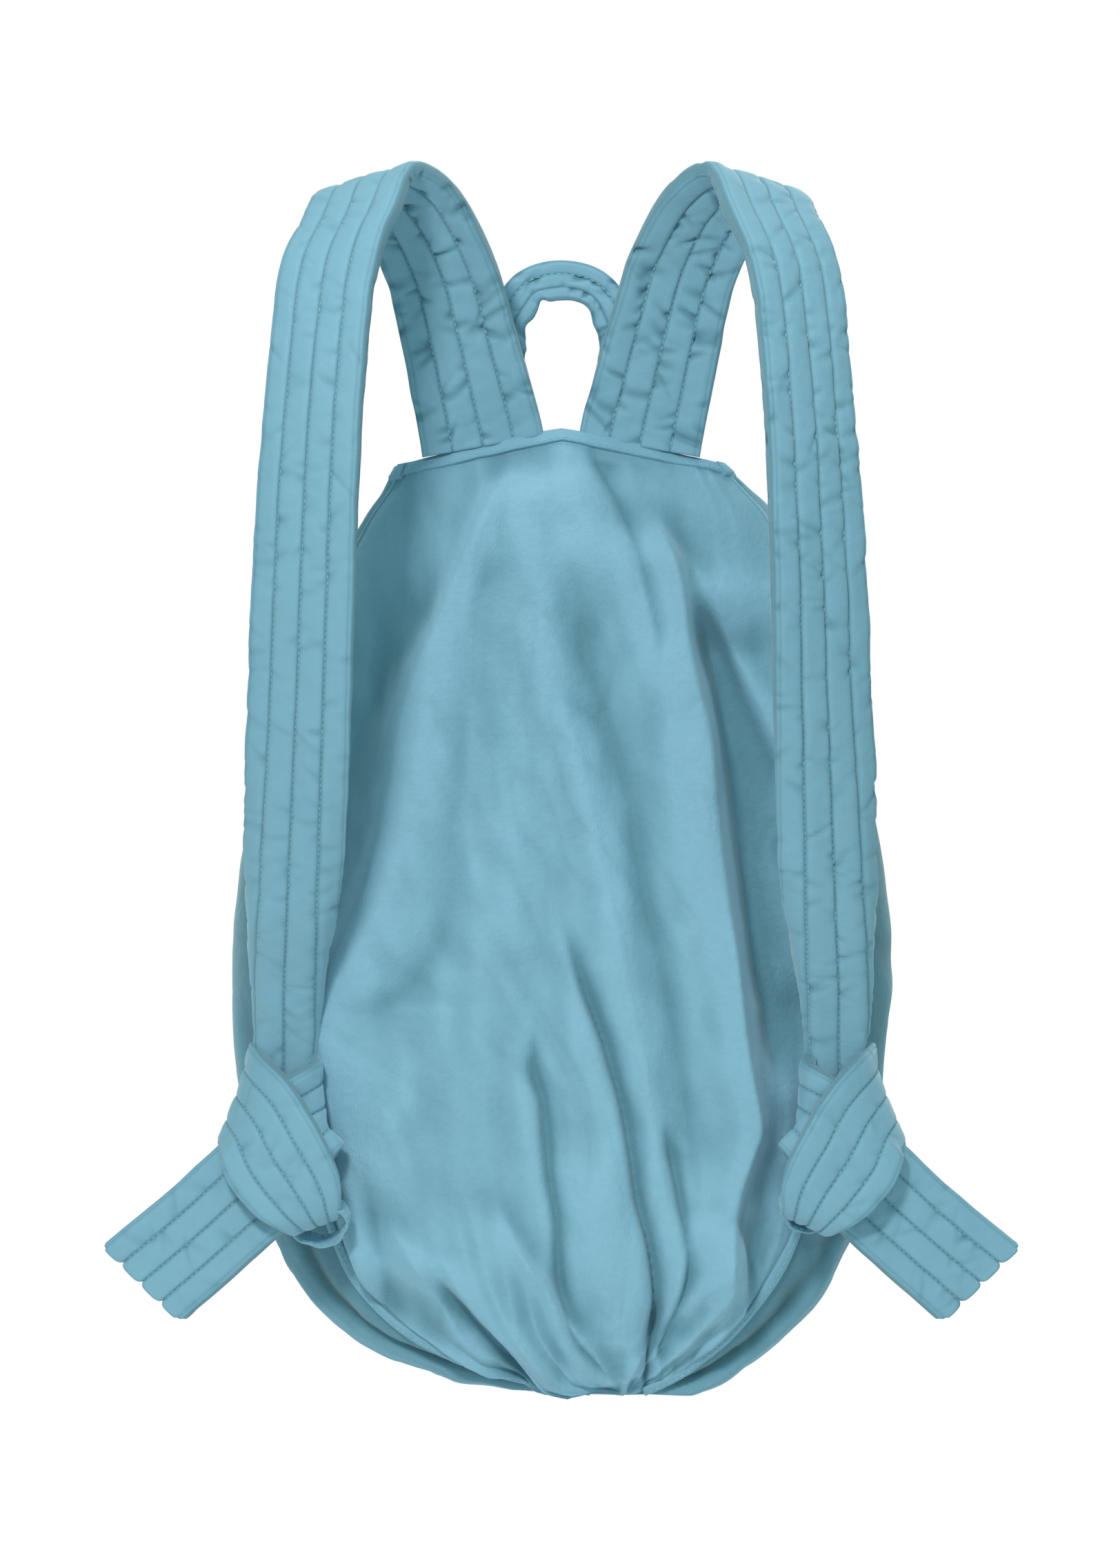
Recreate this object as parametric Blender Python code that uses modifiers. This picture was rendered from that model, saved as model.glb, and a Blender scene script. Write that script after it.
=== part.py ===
"""A gathered cloth backpack with quilted, padded shoulder straps.

Metres, +Z up. The side that lies on the wearer's back faces -Y. The origin lies midway
between the two strap arches, level with their underside, where the shoulders carry them.
Each shoulder strap runs from the top seam over its arch and down to a knot, which ties it
to a cloth loop in the side seam.
"""

import math

import bmesh
import bpy
from mathutils import Vector

# Body
BODY_HEIGHT = 0.499
BODY_WIDTH = 0.344
BODY_DEPTH = 0.170
TOP_SEAM_WIDTH = 0.168
TOP_SEAM_DROP = 0.019
MOUTH_GAP = 0.036
RIM_DIP = 0.006
RIM_CREST = 0.012
GATHER_RADIUS = 0.0065
GATHER_SHIFT = 0.032
CLOTH_WALL = 0.002
FOLD_HEIGHT = 0.015
FOLD_WIDTH = 0.023
FRONT_PLEATS = 9
FRONT_PLEAT_HEIGHT = 0.006

# Top band
BAND_HEIGHT = 0.0065
BAND_THICKNESS = 0.0024
BAND_END_GAP = 0.0012

# Shoulder straps
STRAP_WIDTH = 0.058
STRAP_LOFT = 0.0105
STRAP_STITCH_WALL = 0.0045
STRAP_CHANNELS = 4
STRAP_RISE = 0.1255
ARCH_SPREAD = 0.198
SHOULDER_DEPTH = 0.075
CHEST_REACH = 0.058
STRAP_BASE_OFFSET = 0.0405

# Knots and side loops
KNOT_LAYER = 0.0105
KNOT_DOWN_SHARE = 0.737
KNOT_INSET = 0.0286
KNOT_SWEEP = 0.30
LOOP_LENGTH = 0.010
LOOP_WALL = 0.0016
LOOP_EASE = 0.0019

# Carry handle
HANDLE_RISE = 0.0785
HANDLE_SPREAD = 0.058
HANDLE_WIDTH = 0.021
HANDLE_THICKNESS = 0.008

# Clearances
CLEARANCE = 0.0004

# Mesh divisions
BACK_COLUMNS = 34
FRONT_COLUMNS = 27
PANEL_ROWS = 21
STRAP_STATIONS = 26
KNOT_STATIONS = 28
HANDLE_STATIONS = 18
SEAT_STEPS = 14

TOP_Z = STRAP_LOFT / 2 - STRAP_RISE
TOP_Y = SHOULDER_DEPTH

# Form of the mouth: how square its section is, how far down it is squared and crowned
# (shares of the height), and how its crown falls towards the sides
MOUTH_SQUARENESS = 0.62
SQUARE_SHARE = 0.30
CROWN_SHARE = 0.12
CROWN_POWER = 1.15

# How far down each section of the body lies, and its size there.
# Columns: down (share of the height), half width (share of half the width),
# back and front (shares of the depth, from the top seam towards -Y and +Y),
# shift (share of the gather's shift to the right), seam (degrees from the side to the seam)
BODY_SECTIONS = (
    (0.000, 0.488, 0.000, None, 0.00, 14),
    (0.045, 0.540, 0.028, 0.275, 0.08, 15),
    (0.100, 0.632, 0.052, 0.365, 0.12, 16),
    (0.200, 0.765, 0.088, 0.505, 0.05, 18),
    (0.300, 0.872, 0.112, 0.625, 0.00, 21),
    (0.400, 0.952, 0.130, 0.720, 0.00, 25),
    (0.500, 0.992, 0.142, 0.790, 0.00, 29),
    (0.580, 1.000, 0.148, 0.830, 0.00, 32),
    (0.660, 0.980, 0.148, 0.850, 0.00, 34),
    (0.750, 0.940, 0.142, 0.835, 0.05, 36),
    (0.835, 0.876, 0.125, 0.775, 0.06, 38),
    (0.895, 0.778, 0.100, 0.680, 0.06, 40),
    (0.935, 0.652, 0.076, 0.560, 0.14, 42),
    (0.965, 0.482, 0.048, 0.410, 0.32, 44),
    (0.982, 0.330, 0.010, 0.260, 0.55, 45),
    (1.000, None, None, None, 1.00, 45),
)

# Long folds of the wearer's side. Columns: height (share of the fold height, below 0 for
# a valley), width (share of the fold width), then points across (share of half the width)
# and down (share of the height)
BACK_FOLDS = (
    (0.70, 1.50, ((-0.17, 0.08), (-0.36, 0.33), (-0.55, 0.52), (-0.61, 0.63), (-0.46, 0.86), (-0.15, 0.96))),
    (1.10, 0.95, ((0.10, 0.04), (0.32, 0.17), (0.44, 0.41), (0.53, 0.64), (0.53, 0.73), (0.39, 0.92))),
    (-1.00, 1.10, ((0.44, 0.17), (0.56, 0.29), (0.62, 0.48), (0.65, 0.62), (0.64, 0.73))),
    (-0.70, 0.75, ((0.07, 0.25), (0.20, 0.47), (0.32, 0.68), (0.38, 0.80), (0.28, 0.96))),
    (-0.55, 0.55, ((0.05, 0.50), (0.15, 0.65), (0.23, 0.80), (0.25, 0.94))),
    (-0.50, 0.60, ((-0.07, 0.60), (-0.05, 0.76), (0.05, 0.90), (0.16, 0.97))),
    (-0.45, 0.75, ((-0.56, 0.74), (-0.44, 0.85), (-0.15, 0.95), (0.05, 0.98))),
    (-0.60, 1.20, ((-0.48, 0.26), (-0.62, 0.41), (-0.72, 0.52))),
    (-0.30, 0.60, ((0.07, 0.02), (0.17, 0.09), (0.29, 0.17))),
)
FOLD_FADE = 0.10

# Left strap from the top seam to the top of its arch. Columns: across, up and forward
# (shares of the way), lean of the width direction (forward share, down share), width
# (share of the strap width), thickness (share of the loft)
RISE_ROWS = (
    (0.00, 0.00, 0.00, 0.00, 0.22, 1.10, 0.50),
    (0.03, 0.07, 0.01, 0.00, 0.22, 1.09, 0.80),
    (0.11, 0.22, 0.09, 0.02, 0.23, 1.06, 1.00),
    (0.22, 0.43, 0.20, 0.05, 0.24, 1.02, 1.00),
    (0.38, 0.69, 0.40, 0.12, 0.26, 0.98, 1.00),
    (0.66, 0.92, 0.71, 0.30, 0.30, 0.97, 1.00),
    (1.00, 1.00, 1.00, 0.45, 0.30, 0.98, 1.00),
)

# Left strap from its arch to the knot. Columns: across and down (shares of the way),
# reach (share of the chest reach), back (share of the way back to the knot), lean of the
# width direction (forward share, down share), width, thickness
FALL_ROWS = (
    (0.21, 0.035, 0.42, 0.00, 0.46, 0.20, 0.96, 1.00),
    (0.46, 0.092, 0.74, 0.00, 0.44, 0.10, 0.94, 1.00),
    (0.59, 0.193, 0.95, 0.00, 0.44, 0.05, 0.93, 1.00),
    (0.69, 0.314, 1.00, 0.00, 0.40, 0.02, 0.95, 1.00),
    (0.75, 0.426, 0.93, 0.06, 0.36, 0.00, 0.96, 1.00),
    (0.80, 0.538, 0.75, 0.16, 0.34, 0.00, 0.95, 1.00),
    (0.87, 0.652, 0.50, 0.32, 0.30, 0.00, 0.93, 1.00),
    (0.93, 0.753, 0.28, 0.53, 0.26, 0.00, 0.84, 1.00),
    (0.98, 0.832, 0.12, 0.86, 0.26, 0.00, 0.66, 1.00),
    (0.99, 0.892, 0.00, 1.00, 0.30, 0.00, 0.44, 0.98),
    (1.00, 0.960, 0.00, 1.00, 0.30, 0.00, 0.36, 1.02),
    (1.00, 1.030, 0.00, 1.00, 0.30, 0.00, 0.32, 1.00),
)

# The turn that knots the left strap, in strap widths from the knot's middle: in from the
# side loop, over the front, round behind the strap, and out under itself as the tail.
# Columns: in, up, front layer (in knot layers), lean of the width direction (in, up),
# width (share of the strap width), thickness (share of the knot layer)
KNOT_ROWS = (
    (0.46, -0.82, 0.30, -0.84, -0.54, 0.32, 0.75),
    (0.36, -0.63, 0.70, -0.82, -0.57, 0.38, 0.80),
    (0.25, -0.40, 1.95, -0.75, -0.66, 0.76, 0.95),
    (-0.03, -0.07, 2.25, -0.60, -0.80, 0.98, 0.95),
    (-0.25, 0.18, 1.95, -0.45, -0.89, 0.98, 0.95),
    (-0.40, 0.33, 1.05, -0.38, -0.92, 0.95, 0.95),
    (-0.44, 0.40, 0.00, -0.35, -0.94, 0.93, 0.90),
    (-0.36, 0.43, -0.95, -0.20, -0.98, 0.93, 0.90),
    (0.00, 0.42, -1.30, 0.00, -1.00, 0.95, 0.90),
    (0.36, 0.35, -0.95, 0.15, -0.99, 0.95, 0.90),
    (0.50, 0.29, -0.05, 0.20, -0.98, 0.95, 0.90),
    (0.42, 0.23, 0.85, 0.30, -0.95, 0.96, 0.90),
    (0.17, 0.03, 1.12, 0.60, -0.80, 0.97, 0.90),
    (-0.14, -0.26, 1.02, 0.70, -0.71, 0.97, 0.90),
    (-0.41, -0.52, 0.72, 0.70, -0.71, 0.97, 1.00),
    (-0.78, -0.86, 0.55, 0.70, -0.71, 0.97, 1.10),
    (-1.27, -1.27, 0.45, 0.75, -0.66, 0.99, 0.95),
)

# Carry handle. Columns: across (share of half the spread), up (share of the rise), back
# of the top seam (share of the handle's thickness), width (share of the handle width)
HANDLE_ROWS = (
    (-0.90, -0.20, 0.62, 0.85),
    (-0.93, -0.05, 0.95, 0.95),
    (-0.98, 0.20, 1.25, 1.00),
    (-1.02, 0.45, 1.35, 1.00),
    (-0.96, 0.70, 1.35, 1.00),
    (-0.62, 0.93, 1.30, 1.00),
    (0.00, 1.00, 1.30, 1.00),
    (0.62, 0.93, 1.30, 1.00),
    (0.98, 0.70, 1.35, 1.00),
    (1.02, 0.45, 1.35, 1.00),
    (0.95, 0.20, 1.25, 1.00),
    (0.82, -0.05, 0.95, 0.95),
    (0.78, -0.20, 0.62, 0.85),
)

NYLON_BLUE = (0.235, 0.455, 0.565, 1.0)
QUILT_BLUE = (0.245, 0.475, 0.590, 1.0)


def clear_scene():
    """Removes what the startup scene holds."""
    for old in list(bpy.data.objects):
        bpy.data.objects.remove(old)


def cloth_material(name, colour, roughness):
    """A Principled material in the cloth's colour."""
    material = bpy.data.materials.new(name)
    material.use_nodes = True
    shader = material.node_tree.nodes["Principled BSDF"]
    shader.inputs["Base Color"].default_value = colour
    shader.inputs["Roughness"].default_value = roughness
    shader.inputs["Metallic"].default_value = 0.0
    return material


def curve_through(rows, at):
    """A row read off the smooth curve through the rows, at a place from 0 to 1."""
    last = len(rows) - 1
    place = min(max(at, 0.0), 1.0) * last
    first = min(int(place), last - 1)
    t = place - first
    before, start, end, after = (rows[min(max(first + k, 0), last)] for k in (-1, 0, 1, 2))
    if first == 0:
        before = [2 * s - e for s, e in zip(start, end)]
    if first == last - 1:
        after = [2 * e - s for s, e in zip(start, end)]
    return [
        s + t * (0.5 * (e - b) + t * ((b - 2.5 * s + 2 * e - 0.5 * a) + t * 0.5 * (3 * (s - e) + a - b)))
        for b, s, e, a in zip(before, start, end, after)
    ]


def table_at(rows, place):
    """The columns after the first, read smoothly where the first column has that value."""
    first = max(i for i, row in enumerate(rows) if row[0] <= place or i == 0)
    first = min(first, len(rows) - 2)
    share = (place - rows[first][0]) / (rows[first + 1][0] - rows[first][0])
    return curve_through([row[1:] for row in rows], (first + share) / (len(rows) - 1))


def body_sections():
    """The body's sections in metres: down, half width, back y, front y, shift, seam angle."""
    made = []
    for down, half, back, front, shift, seam in BODY_SECTIONS:
        half_width = GATHER_RADIUS if half is None else half * BODY_WIDTH / 2
        back_y = GATHER_RADIUS * 0.3 if back is None else -back * BODY_DEPTH
        front_y = back_y + (MOUTH_GAP if down == 0 else 2 * GATHER_RADIUS)
        if front is not None:
            front_y = front * BODY_DEPTH
        if down == 0:
            half_width = TOP_SEAM_WIDTH / 2
        made.append((down, half_width, back_y, front_y, shift * GATHER_SHIFT, seam))
    return made


SECTIONS = body_sections()
SECTION_ROWS = [row[1:] for row in SECTIONS]
DOWN_ROWS = [(row[0],) for row in SECTIONS]
LAST_DOWN = BODY_SECTIONS[-1][0]


def rounded(value, power):
    """The value raised to a power, with its sign kept."""
    return math.copysign(abs(value) ** power, value)


def plain_body_point(angle, at):
    """A point of the body's smooth form. The angle runs from +X through +Y, at from 0 at the mouth to 1."""
    half_width, back_y, front_y, shift, _ = curve_through(SECTION_ROWS, at)
    down = curve_through(DOWN_ROWS, at)[0] * BODY_HEIGHT
    rounding = min(1.0, down / (SQUARE_SHARE * BODY_HEIGHT))
    squareness = MOUTH_SQUARENESS + (1 - MOUTH_SQUARENESS) * rounding
    across = rounded(math.cos(angle), squareness)
    deep = rounded(math.sin(angle), squareness)
    centre = (back_y + front_y) / 2
    centre = min(centre, back_y + RIM_CREST) if at == 0 else centre
    reach = front_y - centre if deep > 0 else centre - back_y
    near_top = max(0.0, 1.0 - down / (CROWN_SHARE * BODY_HEIGHT)) ** 2
    crown = -TOP_SEAM_DROP * abs(across) ** CROWN_POWER - RIM_DIP * max(deep, 0.0)
    return Vector(
        (
            shift + half_width * across,
            TOP_Y + centre + reach * deep,
            TOP_Z - down + crown * near_top,
        )
    )


def outward(angle, at):
    """The outward normal of the body's smooth form."""
    step = 0.01
    low, high = max(at - step, 0.0), min(at + step, 1.0)
    round_it = plain_body_point(angle + step, at) - plain_body_point(angle - step, at)
    down_it = plain_body_point(angle, low) - plain_body_point(angle, high)
    return round_it.cross(down_it).normalized()


def back_fold_height(point):
    """How far the folds move a point of the wearer's side outwards."""
    across = point.x / (BODY_WIDTH / 2)
    down = (TOP_Z - point.z) / BODY_HEIGHT
    moved = 0.0
    for height, width, line in BACK_FOLDS:
        start, end = line[0][1], line[-1][1]
        inside = min(max(down, start), end)
        share = next(i for i in range(len(line) - 1) if inside <= line[i + 1][1] + 1e-9)
        (x0, d0), (x1, d1) = line[share], line[share + 1]
        middle = x0 + (x1 - x0) * (inside - d0) / (d1 - d0)
        slope = (x1 - x0) * BODY_WIDTH / 2 / ((d1 - d0) * BODY_HEIGHT)
        away = (across - middle) * BODY_WIDTH / 2 / math.hypot(1, slope)
        fade_in = max(0.0, (down - start + 0.02) / FOLD_FADE)
        fade_out = max(0.0, (end + 0.04 - down) / FOLD_FADE)
        fade = min(1.0, fade_in, fade_out)
        moved += height * FOLD_HEIGHT * fade * math.exp(-((away / (width * FOLD_WIDTH)) ** 2))
    return moved


def front_fold_height(angle, at, seam):
    """How far the gathers move a point of the outer side outwards."""
    share = (angle + seam) / (math.pi + 2 * seam)
    side = min(1.0, share / 0.08, (1 - share) / 0.08)
    gathered = max(0.0, 1 - at / 0.35) * 0.5 + max(0.0, (at - 0.45) / 0.55)
    ripple = math.cos(2 * math.pi * FRONT_PLEATS * share + 0.6 * math.sin(5 * share))
    return FRONT_PLEAT_HEIGHT * gathered * side * ripple


def body_point(angle, at, seam, is_back):
    """A point of the folded cloth, before its thickness."""
    point = plain_body_point(angle, at)
    half_width = curve_through(SECTION_ROWS, at)[0]
    calm = min(1.0, max(0.0, (half_width - GATHER_RADIUS) / (0.12 * BODY_WIDTH))) * min(1.0, at / 0.04)
    height = back_fold_height(point) if is_back else front_fold_height(angle, at, seam)
    return point + outward(angle, at) * height * calm


def panel_point(is_back, across, at, proud=0.0):
    """A point of one panel. Across runs from 0 to 1 between its two seams."""
    seam = math.radians(curve_through(SECTION_ROWS, at)[4])
    half_width = curve_through(SECTION_ROWS, at)[0]
    joint = 0.6 * CLEARANCE / max(half_width * 0.4, GATHER_RADIUS)
    if is_back:
        start, end = math.pi + seam + joint, 2 * math.pi - seam - joint
    else:
        start, end = math.pi + seam - joint, -seam + joint
    angle = start + (end - start) * across
    return body_point(angle, at, seam, is_back) + outward(angle, at) * proud


def band_point(across, down):
    """A point of the inner face of the tape over the top of the wearer's side."""
    inset = BAND_END_GAP / TOP_SEAM_WIDTH
    across = inset + (1 - 2 * inset) * across
    rim = panel_point(True, across, 0, 2 * CLEARANCE)
    below = panel_point(True, across, 1 / PANEL_ROWS, 2 * CLEARANCE)
    return rim + (below - rim).normalized() * down * BAND_HEIGHT


def finish(obj, material, parts, smooth_angle=50):
    """Gives an object its material, its shading and its collection."""
    obj.data.materials.append(material)
    obj.data.shade_smooth()
    obj.data.set_sharp_from_angle(angle=math.radians(smooth_angle))
    parts.objects.link(obj)
    return obj


def cloth_sheet(name, columns, rows, place, wall, material, parts, offset=-1):
    """A grid moved to place(across, down), with a wall's thickness."""
    sheet = bmesh.new()
    bmesh.ops.create_grid(sheet, x_segments=columns, y_segments=rows, size=0.5)
    for corner in sheet.verts:
        corner.co = place(corner.co.x + 0.5, 0.5 - corner.co.y)
    mesh = bpy.data.meshes.new(name)
    sheet.to_mesh(mesh)
    sheet.free()
    obj = bpy.data.objects.new(name, mesh)
    shell = obj.modifiers.new("wall", "SOLIDIFY")
    shell.thickness = wall
    shell.offset = offset
    return finish(obj, material, parts)


def lobed_ring(centre, across, normal, width, thickness, channels):
    """One section of a quilted band: puffed channels between lines of stitching."""
    ring = []
    stitched = min(1.0, STRAP_STITCH_WALL / STRAP_LOFT)
    for side in (1, -1):
        for channel in range(channels):
            for part in (0.0, 0.25, 0.75):
                place = (channel + part) / channels
                share = 1 - 2 * place if side > 0 else 2 * place - 1
                puff = stitched if part == 0 else 1.0
                if channel == 0 and part == 0:
                    puff = 0.0
                ring.append(centre + across * share * width / 2 + normal * side * puff * thickness / 2)
    return ring


def oval_ring(centre, across, normal, width, thickness, corners=12):
    """One section of a soft tube."""
    turns = [2 * math.pi * i / corners for i in range(corners)]
    return [
        centre + across * math.cos(turn) * width / 2 + normal * math.sin(turn) * thickness / 2
        for turn in turns
    ]


def loft(name, rings, material, parts, closed=False):
    """A solid through rings of equal count, with its ends filled."""
    shape = bmesh.new()
    corners = [[shape.verts.new(point) for point in ring] for ring in rings]
    count = len(rings[0])
    pairs = list(zip(corners, corners[1:]))
    if closed:
        pairs.append((corners[-1], corners[0]))
    for low, high in pairs:
        for i in range(count):
            shape.faces.new((low[i], low[(i + 1) % count], high[(i + 1) % count], high[i]))
    if not closed:
        shape.faces.new(corners[0])
        shape.faces.new(corners[-1])
    bmesh.ops.recalc_face_normals(shape, faces=shape.faces)
    mesh = bpy.data.meshes.new(name)
    shape.to_mesh(mesh)
    shape.free()
    return finish(bpy.data.objects.new(name, mesh), material, parts)


def band_rings(rows, stations, mirrored, ring_of=lobed_ring, channels=STRAP_CHANNELS):
    """Sections along a band. Each row holds its middle, its width direction, width and thickness."""
    flat = [[*middle, *lean, width, thickness] for middle, lean, width, thickness in rows]
    rings = []
    for i in range(stations + 1):
        at = i / stations
        here = curve_through(flat, at)
        ahead = Vector(curve_through(flat, min(at + 0.004, 1.0))[:3])
        behind = Vector(curve_through(flat, max(at - 0.004, 0.0))[:3])
        along = (ahead - behind).normalized()
        lean = Vector(here[3:6])
        across = (lean - along * lean.dot(along)).normalized()
        normal = along.cross(across)
        section = (Vector(here[:3]), across, normal, here[6], here[7])
        ring = ring_of(*section, channels) if ring_of is lobed_ring else ring_of(*section)
        rings.append([Vector((-p.x, p.y, p.z)) for p in ring] if mirrored else ring)
    return rings


def back_surface(x, z):
    """How far back the folded cloth of the wearer's side lies at a place up and across, on either side."""
    return min(back_surface_at(side * x, z) for side in (1, -1))


def back_surface_at(x, z):
    """How far back the folded cloth of the wearer's side lies at one place."""
    at, angle = 0.5, 1.5 * math.pi
    for _ in range(SEAT_STEPS):
        half_width, _, _, _, seam = curve_through(SECTION_ROWS, at)
        point = body_point(angle, at, math.radians(seam), True)
        at = min(max(at + (point.z - z) / BODY_HEIGHT, 0.0), 1.0)
        angle += 0.8 * (x - point.x) / half_width
        angle = min(max(angle, 1.1 * math.pi), 1.9 * math.pi)
    return point.y


def knot_place(middle, inward, up, layer):
    """A place in the left knot, whose outer side sweeps back round the body."""
    inward *= STRAP_WIDTH
    return middle + Vector((inward, -layer * KNOT_LAYER - inward * KNOT_SWEEP, up * STRAP_WIDTH))


def knot_middle():
    """The middle of the left knot, which rests on the body with its hindmost layer."""
    middle = Vector((KNOT_INSET - BODY_WIDTH / 2, 0, TOP_Z - KNOT_DOWN_SHARE * BODY_HEIGHT))
    rings = band_rings(knot_rows(middle), KNOT_STATIONS, False)
    room = min(back_surface(point.x, point.z) - point.y for ring in rings for point in ring)
    return middle + Vector((0, room - 2 * CLEARANCE, 0))


def strap_rows(knot):
    """The left strap down to the knot, as middles, width directions, widths and thicknesses."""
    edge_share = STRAP_BASE_OFFSET / (TOP_SEAM_WIDTH / 2)
    base_z = TOP_Z - TOP_SEAM_DROP * edge_share**CROWN_POWER + BAND_THICKNESS / 2 + 2 * CLEARANCE
    base = Vector((-STRAP_BASE_OFFSET, TOP_Y, base_z))
    arch = Vector((-ARCH_SPREAD / 2, 0, TOP_Z + STRAP_RISE))
    rows = []
    for across, up, forward, lean_back, lean_down, width, thickness in RISE_ROWS:
        share = Vector((across, forward, up))
        middle = base + Vector([(a - b) * s for a, b, s in zip(arch, base, share)])
        lean = Vector((-1, lean_back, -lean_down))
        rows.append((middle, lean, width * STRAP_WIDTH, thickness * STRAP_LOFT))
    for across, down, reach, back, lean_back, lean_down, width, thickness in FALL_ROWS:
        middle = Vector(
            (
                arch.x + (knot.x - arch.x) * across,
                -CHEST_REACH * reach + knot.y * back,
                arch.z + (knot.z - arch.z) * down,
            )
        )
        lean = Vector((-1, lean_back, -lean_down))
        rows.append((middle, lean, width * STRAP_WIDTH, thickness * STRAP_LOFT))
    return rows


def knot_rows(middle):
    """The turn of the left knot and its tail, as middles, width directions, widths and thicknesses."""
    rows = []
    for inward, up, layer, lean_in, lean_up, width, thickness in KNOT_ROWS:
        place = knot_place(middle, inward, up, layer)
        lean = Vector((lean_in, -lean_in * KNOT_SWEEP, lean_up))
        rows.append((place, lean, width * STRAP_WIDTH, thickness * KNOT_LAYER))
    return rows


def side_loop_rings(knot, mirrored):
    """The cloth loop that runs from the left side seam round the tip of the knot."""
    (start, *_), (inner, _, inner_width, inner_depth) = knot_rows(knot)[:2]
    along = Vector((inner.x - start.x, 0, inner.z - start.z)).normalized()
    across = Vector((along.z, 0, -along.x))
    middle = start.lerp(inner, 0.25)
    half_width = inner_width / 2 + LOOP_EASE + LOOP_WALL
    front = inner.y - inner_depth / 2 - LOOP_EASE - LOOP_WALL
    corners = [
        middle + across * side * half_width + along * end * LOOP_LENGTH / 2
        for side in (-1, 0, 1)
        for end in (-1, 1)
    ]
    side = -1 if mirrored else 1
    back = min(back_surface_at(side * corner.x, corner.z) for corner in corners) - CLEARANCE
    middle = Vector((middle.x, (front + back) / 2, middle.z))
    half_depth = (back - front) / 2
    rings = []
    for i in range(16):
        turn = 2 * math.pi * i / 16
        spread = across * rounded(math.cos(turn), 0.6)
        depth = Vector((0, -rounded(math.sin(turn), 0.6), 0))
        outer = middle + spread * half_width + depth * half_depth
        inside = middle + spread * (half_width - LOOP_WALL) + depth * (half_depth - LOOP_WALL)
        end = along * LOOP_LENGTH / 2
        rings.append([outer - end, outer + end, inside + end, inside - end])
    if mirrored:
        rings = [[Vector((-p.x, p.y, p.z)) for p in ring] for ring in rings]
    return rings


def handle_rows():
    """The carry handle, as middles, width directions, widths and thicknesses."""
    rows = []
    heart = Vector((0, 0, TOP_Z + 0.55 * HANDLE_RISE))
    for across, up, back, width in HANDLE_ROWS:
        middle = Vector(
            (
                across * HANDLE_SPREAD / 2,
                TOP_Y + back * HANDLE_THICKNESS,
                TOP_Z + up * HANDLE_RISE,
            )
        )
        out = Vector((middle.x, 0, max(middle.z, heart.z) - heart.z))
        rows.append((middle, out.normalized(), width * HANDLE_WIDTH, HANDLE_THICKNESS))
    return rows


def build_panels(cloth, parts):
    """The wearer's side, the outer side and the tape over the top seam."""
    for name, is_back, columns in (("back_panel", True, BACK_COLUMNS), ("front_panel", False, FRONT_COLUMNS)):
        cloth_sheet(
            name,
            columns,
            PANEL_ROWS,
            lambda across, at, is_back=is_back: panel_point(is_back, across, at),
            CLOTH_WALL,
            cloth,
            parts,
        )
    cloth_sheet("top_band", BACK_COLUMNS, 1, band_point, BAND_THICKNESS, cloth, parts, offset=1)


def build_strap(side, mirrored, quilt, cloth, parts):
    """One shoulder strap, its knot with the tail, and the side loop."""
    knot = knot_middle()
    loft(f"shoulder_strap_{side}", band_rings(strap_rows(knot), STRAP_STATIONS, mirrored), quilt, parts)
    loft(f"strap_knot_{side}", band_rings(knot_rows(knot), KNOT_STATIONS, mirrored), quilt, parts)
    loft(f"side_loop_{side}", side_loop_rings(knot, mirrored), cloth, parts, closed=True)


def main():
    clear_scene()
    parts = bpy.data.collections.new("quilted_backpack")
    bpy.context.scene.collection.children.link(parts)
    cloth = cloth_material("body_cloth", NYLON_BLUE, 0.6)
    quilt = cloth_material("quilted_cloth", QUILT_BLUE, 0.65)
    build_panels(cloth, parts)
    build_strap("left", False, quilt, cloth, parts)
    build_strap("right", True, quilt, cloth, parts)
    loft("carry_handle", band_rings(handle_rows(), HANDLE_STATIONS, False, oval_ring), cloth, parts)


main()
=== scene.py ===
"""The looks of a gathered nylon backpack with quilted shoulder straps, round its fixed frame.

Metres, +Z up. The camera looks along +Y at the side that lies on the wearer's back.
"""

import math

import bmesh
import bpy
import numpy as np
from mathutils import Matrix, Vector


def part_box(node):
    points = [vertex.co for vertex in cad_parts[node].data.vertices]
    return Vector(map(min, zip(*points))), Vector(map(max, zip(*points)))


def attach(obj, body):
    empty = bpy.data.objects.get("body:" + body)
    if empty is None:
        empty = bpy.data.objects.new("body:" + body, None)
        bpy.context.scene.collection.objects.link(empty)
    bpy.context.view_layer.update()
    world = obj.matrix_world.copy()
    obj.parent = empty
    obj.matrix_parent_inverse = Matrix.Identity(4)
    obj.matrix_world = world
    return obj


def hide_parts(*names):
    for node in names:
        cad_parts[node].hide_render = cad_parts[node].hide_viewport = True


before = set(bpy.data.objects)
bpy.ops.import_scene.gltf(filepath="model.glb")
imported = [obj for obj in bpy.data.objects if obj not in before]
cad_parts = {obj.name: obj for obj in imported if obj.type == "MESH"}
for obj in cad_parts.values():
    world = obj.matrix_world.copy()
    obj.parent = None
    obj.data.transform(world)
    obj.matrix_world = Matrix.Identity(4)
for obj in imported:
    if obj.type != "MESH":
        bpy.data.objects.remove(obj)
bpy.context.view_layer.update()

# Body
BODY_HEIGHT = 0.499
BODY_WIDTH = 0.344
BODY_DEPTH = 0.170
TOP_SEAM_WIDTH = 0.168
TOP_SEAM_DROP = 0.019
MOUTH_GAP = 0.036
RIM_DIP = 0.006
GATHER_RADIUS = 0.0065
GATHER_SHIFT = 0.032
CLOTH_WALL = 0.0012
BAND_HEIGHT = 0.0072
BAND_THICKNESS = 0.0026
BAND_END = 14
TAPE_THICKNESS = BAND_THICKNESS + 0.0014
TOP_SQUARENESS = 0.62
ROUND_FROM = 0.3
CROWN_REACH = 0.12
CROWN_POWER = 1.15

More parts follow.
